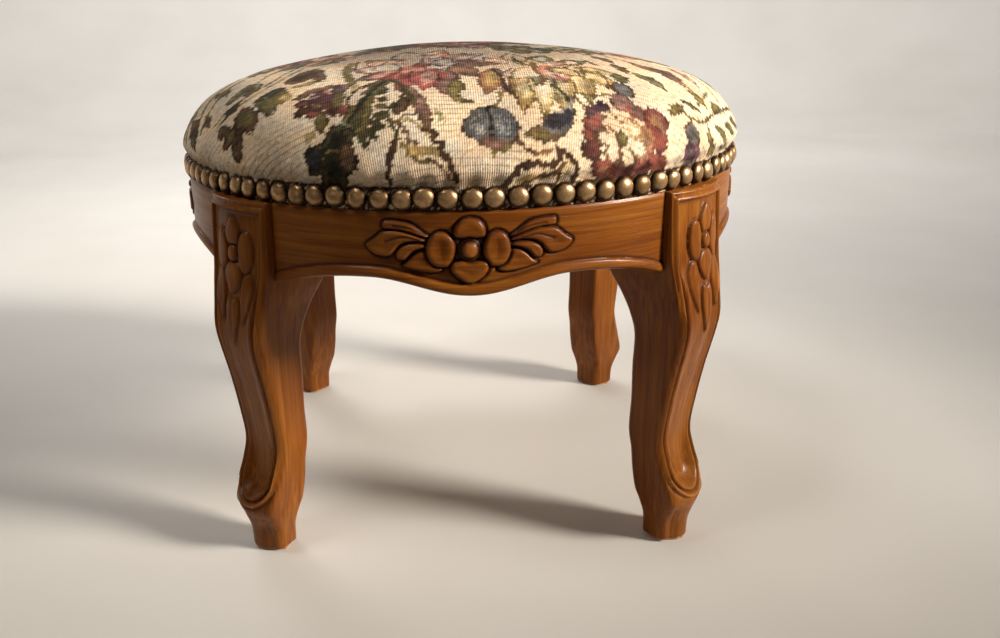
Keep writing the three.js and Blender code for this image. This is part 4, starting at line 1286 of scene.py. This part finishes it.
def draw_gold_flower(cloth):
    """A wide flower of cream, gold and rust petals with dark edges, right of the middle."""
    cloth.leaves(1, 0,
        ((42, -82), (46, -60), 12, OLIVE, SAGE, CREAM), ((32, -82), (26, -58), 12, OLIVE, CREAM),
        ((52, -84), (68, -68), 11, BROWN, SAGE, CREAM), ((24, -88), (12, -70), 9, MAUVE, BLUSH),
        ((58, -88), (80, -96), 11, OLIVE, GOLD, STRAW),
        ((56, -94), (77, -122), 13, OLIVE, GOLD, STRAW),
        ((16, -96), (9, -136), 13, BROWN, RUST, GOLD), ((26, -96), (17, -134), 9, MAUVE, BLUSH),
        ((52, -98), (61, -138), 13, OLIVE, GOLD, STRAW),
        ((44, -98), (47, -150), 14, BROWN, GOLD, STRAW),
        ((30, -98), (26, -152), 14, BROWN, GOLD, STRAW),
        ((37, -98), (36, -154), 12, OLIVE, STRAW, CREAM),
        ((40, -94), (34, -126), 9, MOSS, SAGE),
        ((40, -92), (23, -116), 14, SAGE, CREAM), ((42, -92), (50, -120), 13, RUST, ROSE, BLUSH),
        ((44, -90), (60, -108), 11, BROWN, STRAW), ((44, -88), (56, -76), 9, RUST, BLUSH),
        ((38, -90), (28, -74), 9, OLIVE, STRAW))
    cloth.ovals((42, -92, 4, 4, 0, CRIMSON, ROSE))
    cloth.lines(
        (2.6, BROWN, (37, -84), (37, -98), (39, -112), (38, -122)),
        (2.2, UMBER, (15, -98), (18, -112), (19, -128), (24, -140)),
        (1.8, MOSS, (28, -68), (29, -78), (34, -88)),
        (1.8, BROWN, (44, -90), (50, -92), (56, -86)),
        (2.4, MOSS, (42, -122), (47, -130), (50, -140)),
        (1.8, OLIVE, (62, -84), (62, -98), (60, -112)), (1.8, GOLD, (28, -142), (31, -147)),
        (1.8, GOLD, (38, -148), (40, -142)), (2.6, CRIMSON, (46, -106), (49, -112)),
        (1.8, BROWN, (70, -92), (72, -106), (71, -120)),
        (1.8, OLIVE, (54, -128), (62, -130), (70, -126)), (2, UMBER, (60, -70), (64, -78)),
        (3, BROWN, (68, -66), (72, -76)))


def draw_right_flower(cloth):
    """The burgundy flower: a scalloped ring round cream petals with an olive heart."""
    cloth.ovals(
        (79, -117, 6, 8, 12, UMBER, SLATE), (77, -130, 7, 7, 0, WINE, MAUVE),
        (85, -134, 6, 5, 0, BURGUNDY, MAUVE), (96, -134, 8, 8, 0, WINE, BURGUNDY, RUST),
        (98, -144, 7, 7, 0, WINE, BURGUNDY), (103, -155, 9, 5.4, 8, WINE, BURGUNDY),
        (94, -164, 9, 6, 20, WINE, BURGUNDY, WINE),
        (83, -169, 8, 6, 8, UMBER, WINE),
        (71, -172, 9, 5.6, 0, WINE, BURGUNDY, RUST),
        (61, -164, 6, 6, 0, UMBER, WINE), (59, -156, 4, 5, 0, UMBER, BURGUNDY),
        (58, -150, 3.6, 3.4, 0, WINE, BURGUNDY), (61, -143, 5, 5.4, 0, WINE, PURPLE),
        (66, -137, 4.4, 4, 0, PURPLE), (90, -152, 6, 9, 0, BURGUNDY, RUST),
        (67, -149, 8, 7, 0, MAUVE, BURGUNDY), (90, -148, 7, 9, 0, BURGUNDY, RUST),
        (71, -147, 6.6, 6, 0, BROWN, CREAM), (82, -145, 6.6, 5.4, 0, RUST, CREAM),
        (87, -154, 5.4, 5.4, 0, RUST, CREAM), (68, -156, 5.6, 4.6, 0, BROWN, CREAM),
        (82, -162, 5.6, 4.6, 0, BROWN, CREAM), (73, -163, 5, 4.6, 0, BROWN, BLUSH),
        (77, -154, 7, 6.4, 0, CREAM), (77, -153, 3.2, 4.6, 10, MOSS, OLIVE))
    cloth.lines(
        (1.5, BROWN, (72, -150), (75, -156), (77, -164)),
        (1.5, GOLD, (80, -146), (83, -150), (90, -148)), (1.6, OLIVE, (80, -155), (83, -158)),
        (1.3, RUST, (66, -149), (71, -150)), (1.6, GOLD, (82, -139), (86, -143)),
        (1.6, MAUVE, (99, -131), (101, -139)))


def draw_right_sprigs(cloth):
    """A dark stem with narrow leaves at the right, over a netted slate leaf."""
    leaves = [((104, -125), (114, -111), 6), ((112, -107), (128, -104), 5),
              ((133, -109), (139, -124), 6), ((137, -122), (152, -115), 7),
              ((139, -103), (160, -98), 7), ((138, -92), (146, -75), 8),
              ((120, -87), (134, -95), 6), ((150, -90), (166, -76), 7),
              ((158, -74), (172, -58), 7), ((108, -112), (116, -118), 4)]
    cloth.leaves(0.6, 2, *((*leaf, MOSS, OLIVE) for leaf in leaves))
    cloth.lines(
        (2, MOSS, (117, -118), (126, -113), (131, -108), (136, -98), (142, -88), (150, -74),
         (160, -56)),
        (2, UMBER, (152, -106), (160, -97), (168, -88), (175, -74)),
        (1.8, SAGE, (146, -112), (156, -104), (164, -92)),
        (1.8, OLIVE, (126, -98), (132, -84), (138, -70)))
    cloth.shape([(114, -128), (117, -121), (123, -119), (128, -124), (126, -131), (119, -132)],
                UMBER, SLATE)
    cloth.net([(117, -136), (122, -130), (130, -129), (139, -131), (140, -136), (134, -141),
               (124, -143), (118, -141)], PURPLE, SLATE, 4)


def draw_right_sweep(cloth):
    """Leaves over the right shoulder of the seat."""
    cloth.leaves(1, 3,
        ((79, -92), (80, -112), 9, MOSS, OLIVE), ((82, -66), (87, -92), 8, MOSS, BROWN),
        ((90, -84), (106, -104), 11, MOSS, SAGE))
    cloth.leaves(2, 3,
        ((102, -58), (120, -84), 14, BROWN, MAUVE), ((118, -44), (132, -72), 8, MAUVE, ROSE))
    cloth.leaf((96, -50), (108, -74), 7, -2, 3, BROWN, RUST)
    cloth.leaves(3, 3,
        ((128, -24), (150, -50), 11, MOSS, OLIVE), ((144, -28), (164, -56), 9, BROWN, OLIVE))
    cloth.leaves(2, 3,
        ((160, -12), (178, -30), 9, MOSS, SAGE), ((74, -46), (84, -66), 9, BROWN, MAUVE))
    cloth.leaf((112, -14), (126, -36), 12, -2, 3, UMBER, MAUVE)
    cloth.lines(
        (1.8, BROWN, (84, -40), (100, -56), (114, -70), (126, -88)),
        (1.8, OLIVE, (122, -30), (140, -56), (152, -76)))


def draw_far_blossoms(cloth):
    """Crowded blossoms and leaves over the flatter part of the seat."""
    blossoms = [(-72, -34, 1.2, MAUVE, ROSE, BLUSH), (-100, -14, 1.1, BURGUNDY, MAUVE, ROSE),
                (36, -40, 1.2, MOSS, SAGE, MIST), (66, -30, 1.1, MAUVE, SAGE, CREAM),
                (98, -18, 1.1, BURGUNDY, ROSE, BLUSH), (-42, -20, 1.1, WINE, MAUVE, ROSE),
                (8, -26, 1.2, MAUVE, ROSE, MAUVE), (-128, -2, 0.9, BROWN, LICHEN)]
    for x, y, size, *colours in blossoms:
        for k in range(6):
            angle = k * 1.047 + x
            cloth.ovals((x + 9 * size * np.cos(angle), y + 9 * size * np.sin(angle), 6.2 * size,
                         5 * size, np.degrees(angle), *colours))
        cloth.ovals((x, y, 4 * size, 4 * size, 0, UMBER, GOLD))
    leaves = [((-86, -44), (-66, -52)), ((-58, -36), (-50, -18)), ((-20, -34), (-6, -14)),
              ((22, -44), (24, -20)), ((50, -48), (54, -22)), ((84, -36), (76, -10)),
              ((112, -34), (112, -8)), ((-112, -36), (-110, -14)), ((-30, -10), (-60, -4)),
              ((20, -8), (46, -4)), ((60, -10), (84, -4)), ((-84, -6), (-70, -14))]
    cloth.leaves(2, 3, *((*leaf, 11, MOSS, SAGE) for leaf in leaves))


def draw_wreath(cloth):
    """Rings of petals about the middle of the seat, each ring turned from the last, with a
    spray of leaves round them."""
    for k in range(9):
        c, s = np.cos(k * 0.698 + 0.3), np.sin(k * 0.698 + 0.3)
        cloth.leaf((26 * c, 20 * s), (54 * c, 36 * s), 15, 4, 3, MOSS, (OLIVE, SAGE, BROWN)[k % 3])
    petals = [(8, 26, 11, WINE, (BURGUNDY, MAUVE)), (7, 17, 9, BURGUNDY, (ROSE, BLUSH)),
              (5, 9, 6.5, WINE, (CRIMSON, MAUVE)), (1, 0, 5, BROWN, (GOLD,))]
    for count, far, size, rim, hearts in petals:
        for k in range(count):
            angle = k * 2 * np.pi / count + far
            cloth.ovals((far * np.cos(angle), far * 0.8 * np.sin(angle), size * 0.8, size,
                         np.degrees(angle), rim, hearts[k % len(hearts)]))


# Finishes
def wood_finish():
    """Stained and lacquered hardwood. Grain runs along the third part of the grain attribute;
    dark glaze lies in the carving, and the raised parts are lighter from rubbed wear and a painted
    highlight."""
    finish = Finish("stained_wood", Coat_Weight=0.07, Coat_Roughness=0.18,
                    Specular_IOR_Level=0.15)
    grain = finish.attribute("grain", 1)
    glaze = finish.attribute("glaze")
    worn = finish.attribute("worn")
    streak = finish.noise(grain, (0.42, 0.42, 0.012), 5, 0.62, 0.4)
    cloud = finish.noise(grain, (0.03, 0.03, 0.008), 2, 0.5)
    pores = finish.noise(grain, (2.6, 2.6, 0.07), 2, 0.5).step(0.60, 0.70)
    body = finish.ramp(streak * 0.6 + cloud * 0.45,
                       (0.28, linear(80, 35, 6)), (0.46, linear(114, 60, 15)),
                       (0.58, linear(136, 79, 24)), (0.76, linear(160, 102, 38)))
    body = finish.mix(pores * 0.25, body, linear(64, 26, 5))
    # Raised parts lighter: rubbed wear together with a painted highlight.
    body = finish.mix(worn * 0.5, body, linear(190, 122, 58))
    dirt = finish.noise(grain, 0.25, 3, 0.6)
    dark = (glaze * (0.75 + dirt * 0.5)).math("MINIMUM", 1)
    body = finish.mix(dark, body, linear(42, 14, 3))
    rough = 0.30 + pores * 0.12 + dark * 0.2 + dirt * 0.08
    fine = finish.bump(pores * -1 + streak * 0.3, 0.05, 0.8)
    wavy = finish.bump(finish.noise(grain, (0.12, 0.12, 0.05), 2), 0.35, 0.5, fine)
    return finish.surface(Base_Color=body, Roughness=rough, Normal=wavy)


def plain_wood_finish(name, light, dark, along):
    """Bare wood with grain along one axis of the object, 0, 1 or 2."""
    finish = Finish(name)
    place = finish.object_place()
    scale = [0.35, 0.35, 0.35]
    scale[along] = 0.012
    streak = finish.noise(place, tuple(scale), 5, 0.6, 0.5)
    fine = finish.noise(place, tuple(v * 6 for v in scale), 2, 0.5)
    body = finish.ramp(streak * 0.8 + fine * 0.2, (0.35, dark), (0.65, light))
    return finish.surface(Base_Color=body, Roughness=0.6 + fine * 0.2,
                          Normal=finish.bump(streak + fine, 0.12))


def board_finish():
    """Plywood: a birch face with grain along X and darker plies down its edge."""
    finish = Finish("plywood")
    place = finish.object_place()
    streak = finish.noise(place, (0.012, 0.3, 0.3), 5, 0.6, 0.5)
    height = finish.node("ShaderNodeSeparateXYZ", values={0: place}, output=2)
    plies = (height / 3.0).wave().step(0.35, 0.65)
    body = finish.ramp(streak, (0.35, linear(168, 128, 82)), (0.7, linear(206, 170, 120)))
    body = finish.mix(plies * 0.35, body, linear(132, 92, 54))
    return finish.surface(Base_Color=body, Roughness=0.62 + streak * 0.15,
                          Normal=finish.bump(streak, 0.1))


def tapestry_finish():
    """Ribbed machine tapestry: warp ribs run front to back, and weft shows as fine breaks and
    as a darker line every second thread. The rib valleys and weft breaks are darkened as painted shade;
    the darker weft lines and the yarn fuzz are the cloth's own tone."""
    finish = Finish("tapestry", Specular_IOR_Level=0.15)
    pattern = finish.attribute("pattern", 0)
    cloth = finish.attribute("cloth", 1)
    x = finish.node("ShaderNodeSeparateXYZ", values={0: cloth}, output=0)
    y = finish.node("ShaderNodeSeparateXYZ", values={0: cloth}, output=1)
    wander = finish.noise(cloth, 0.06, 2) * 1.2
    rib = ((x + wander) / STITCH).wave()
    weft = ((y + wander) / (STITCH * 1.6) + (x / STITCH).math("FLOOR") * 0.5).wave()
    line = ((y + wander * 0.8) / (STITCH * 3)).wave() ** 5
    fuzz = finish.noise(cloth, 2.2, 3, 0.6)
    patch = finish.noise(cloth, 0.045, 3, 0.5)
    # Painted shade in the rib valleys and weft breaks, with darker weft lines and yarn fuzz as the
    # cloth's own tone.
    weave_shade_and_tone = (1 - rib) * 0.12 + (1 - weft) * 0.06 + line * patch.step(0.3, 0.7) * 0.42
    weave_shade_and_tone = weave_shade_and_tone + (1 - fuzz) * 0.18
    aged = finish.mix(patch.step(0.5, 0.8) * 0.10, pattern, linear(184, 146, 98))
    body = finish.mix(weave_shade_and_tone, aged, finish.mix(1, aged, linear(120, 96, 72), "MULTIPLY"))
    height = rib * 0.7 + weft * 0.3 + fuzz * 0.3 - line * 0.3
    return finish.surface(Base_Color=body, Roughness=0.86 + fuzz * 0.1,
                          Normal=finish.bump(height, 0.3, 0.8))


def brass_finish():
    """Antiqued brass: bright on the crown, tarnished brown towards the rim and in patches, with painted
    shade over the lower half of each head.
    """
    finish = Finish("antique_brass", Metallic=0.8)
    place = finish.object_place()
    tarnish = finish.attribute("tarnish")
    tone = finish.attribute("tone")
    patch = finish.noise(place, 0.35, 4, 0.6)
    # Tarnished rim, painted shade on the lower half of each head, and tarnished patches.
    dark = (tarnish * 0.95 + patch.step(0.4, 0.75) * 0.4).math("MINIMUM", 1)
    bright = finish.mix(tone, linear(228, 184, 132), linear(198, 154, 104))
    body = finish.mix(dark, bright, linear(58, 38, 20))
    dents = finish.noise(place, 0.5, 2)
    return finish.surface(Base_Color=body, Roughness=0.24 + dark * 0.3,
                          Normal=finish.bump(dents, 0.12, 0.5))


def screw_finish():
    finish = Finish("screw_steel", Metallic=1.0)
    place = finish.object_place()
    stain = finish.noise(place, 0.5, 4, 0.6)
    body = finish.ramp(stain, (0.35, linear(122, 118, 104)), (0.7, linear(186, 182, 166)))
    return finish.surface(Base_Color=body, Roughness=0.3 + stain * 0.25,
                          Normal=finish.bump(stain, 0.05))


def glide_finish():
    finish = Finish("glide", Specular_IOR_Level=0.4)
    place = finish.object_place()
    scuff = finish.noise(place, (0.4, 0.4, 0.9), 4, 0.65)
    body = finish.ramp(scuff, (0.3, linear(150, 104, 66)), (0.7, linear(204, 160, 116)))
    return finish.surface(Base_Color=body, Roughness=0.45 + scuff * 0.2,
                          Normal=finish.bump(scuff, 0.08))


def paint(obj, material):
    obj.data.materials.clear()
    obj.data.materials.append(material)


# Studio
STUDIO_RADIUS = 2600
STUDIO_BEND = 900
STUDIO_WALL = 1700
SHARP_ANGLE = 48


def make_studio():
    """A pale floor that curves up all round into a low wall."""
    turn = np.linspace(0, np.pi / 2, 16)
    flat = [[200, 0], [900, 0], [STUDIO_RADIUS - STUDIO_BEND, 0]]
    curve = np.stack([STUDIO_RADIUS - STUDIO_BEND + STUDIO_BEND * np.sin(turn),
                      STUDIO_BEND * (1 - np.cos(turn))], 1)
    line = np.vstack([flat, curve, [[STUDIO_RADIUS, STUDIO_WALL]]])
    rings = turned_rings(line[:, 0], line[:, 1], np.linspace(0, 2 * np.pi, 96, endpoint=False))
    count, size, _ = rings.shape
    faces = ring_faces(count, size)[:, ::-1].tolist() + fan_faces(0, size, count * size).tolist()
    floor = add_mesh("floor", np.vstack([rings.reshape(-1, 3), [[0, 0, 0]]]), faces)
    finish = Finish("floor_paint", Roughness=0.75)
    mottle = finish.noise(finish.object_place(), 0.004, 3)
    body = finish.ramp(mottle, (0.3, linear(212, 206, 198)), (0.7, linear(220, 215, 208)))
    paint(floor, finish.surface(Base_Color=body))


def add_lamp(name, place, target, size, power, spread=180, colour=(1, 1, 1)):
    data = bpy.data.lights.new(name, "AREA")
    data.shape = "DISK"
    data.size = size
    data.energy = power
    data.spread = np.radians(spread)
    data.color = colour
    lamp = add_object(name, data)
    lamp.location = place
    lamp.rotation_euler = (Vector(target) - Vector(place)).to_track_quat("-Z", "Y").to_euler()


def light_studio():
    seat = (0, 0, 0.16)
    add_lamp("key", (1.42, -0.56, 0.9), (0, 0, 0.37), 0.45, 4.6, 44, (1, 0.94, 0.84))
    add_lamp("fill", (-1.2, -1.5, 0.7), seat, 1.4, 0.08, 60, (0.95, 0.97, 1))
    add_lamp("top", (-0.5, -0.3, 1.3), (0, 0, 0.25), 0.4, 0.38, 45, (1, 0.98, 0.95))
    add_lamp("back", (-0.8, 1.4, 1.0), seat, 0.8, 1.3, 70, (1, 0.98, 0.95))
    add_lamp("wall_wash", (0, 1.0, 1.5), (0, 2.5, 0.2), 1.6, 40)
    world = bpy.data.worlds.new("studio_air")
    world.use_nodes = True
    world.node_tree.nodes["Background"].inputs[0].default_value = (0.95, 0.96, 1, 1)
    world.node_tree.nodes["Background"].inputs[1].default_value = 0.012
    bpy.context.scene.world = world
    bpy.context.scene.view_settings.view_transform = "Standard"


def main():
    rng = np.random.default_rng(7)
    wood = wood_finish()
    quarter = np.pi / 2
    corners = ("front_left", "front_right", "back_right", "back_left")
    rails = ("front", "right", "back", "left")
    for i, corner in enumerate(corners):
        leg = make_leg(f"carved_leg_{corner}", -quarter * 1.5 + i * quarter, KNEE_SHIFTS[i])
        finish_piece(leg, wood, "stained_wood", f"leg_{corner}")
    for i, rail in enumerate(rails):
        apron = make_apron(f"carved_apron_{rail}", -quarter + i * quarter)
        finish_piece(apron, wood, "stained_wood", f"apron_{rail}")
    nails = make_nails(rng)
    finish_piece(nails, brass_finish(), "antique_brass", "nail_row")
    cushion = make_cushion(rng)
    finish_piece(cushion, tapestry_finish(), "tapestry", "tapestry_cover", "seat_pad")
    paint_hidden_nodes()
    make_studio()
    light_studio()


def finish_piece(obj, material, slot, *nodes):
    paint(obj, material)
    obj.data.set_sharp_from_angle(angle=np.radians(SHARP_ANGLE))
    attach(obj, "root")
    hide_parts(*nodes)


def paint_hidden_nodes():
    """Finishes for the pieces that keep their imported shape."""
    finishes = {
        "glide_": glide_finish(),
        "corner_block_": plain_wood_finish("bare_wood", linear(196, 158, 108),
                                           linear(158, 116, 70), along=2),
        "dowel_": plain_wood_finish("dowel_wood", linear(214, 180, 130),
                                    linear(186, 146, 98), along=1),
        "block_screw_": screw_finish(),
        "board_screw_": screw_finish(),
        "seat_board": board_finish(),
    }
    for name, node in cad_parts.items():
        for start, material in finishes.items():
            if name.startswith(start):
                paint(node, material)


main()
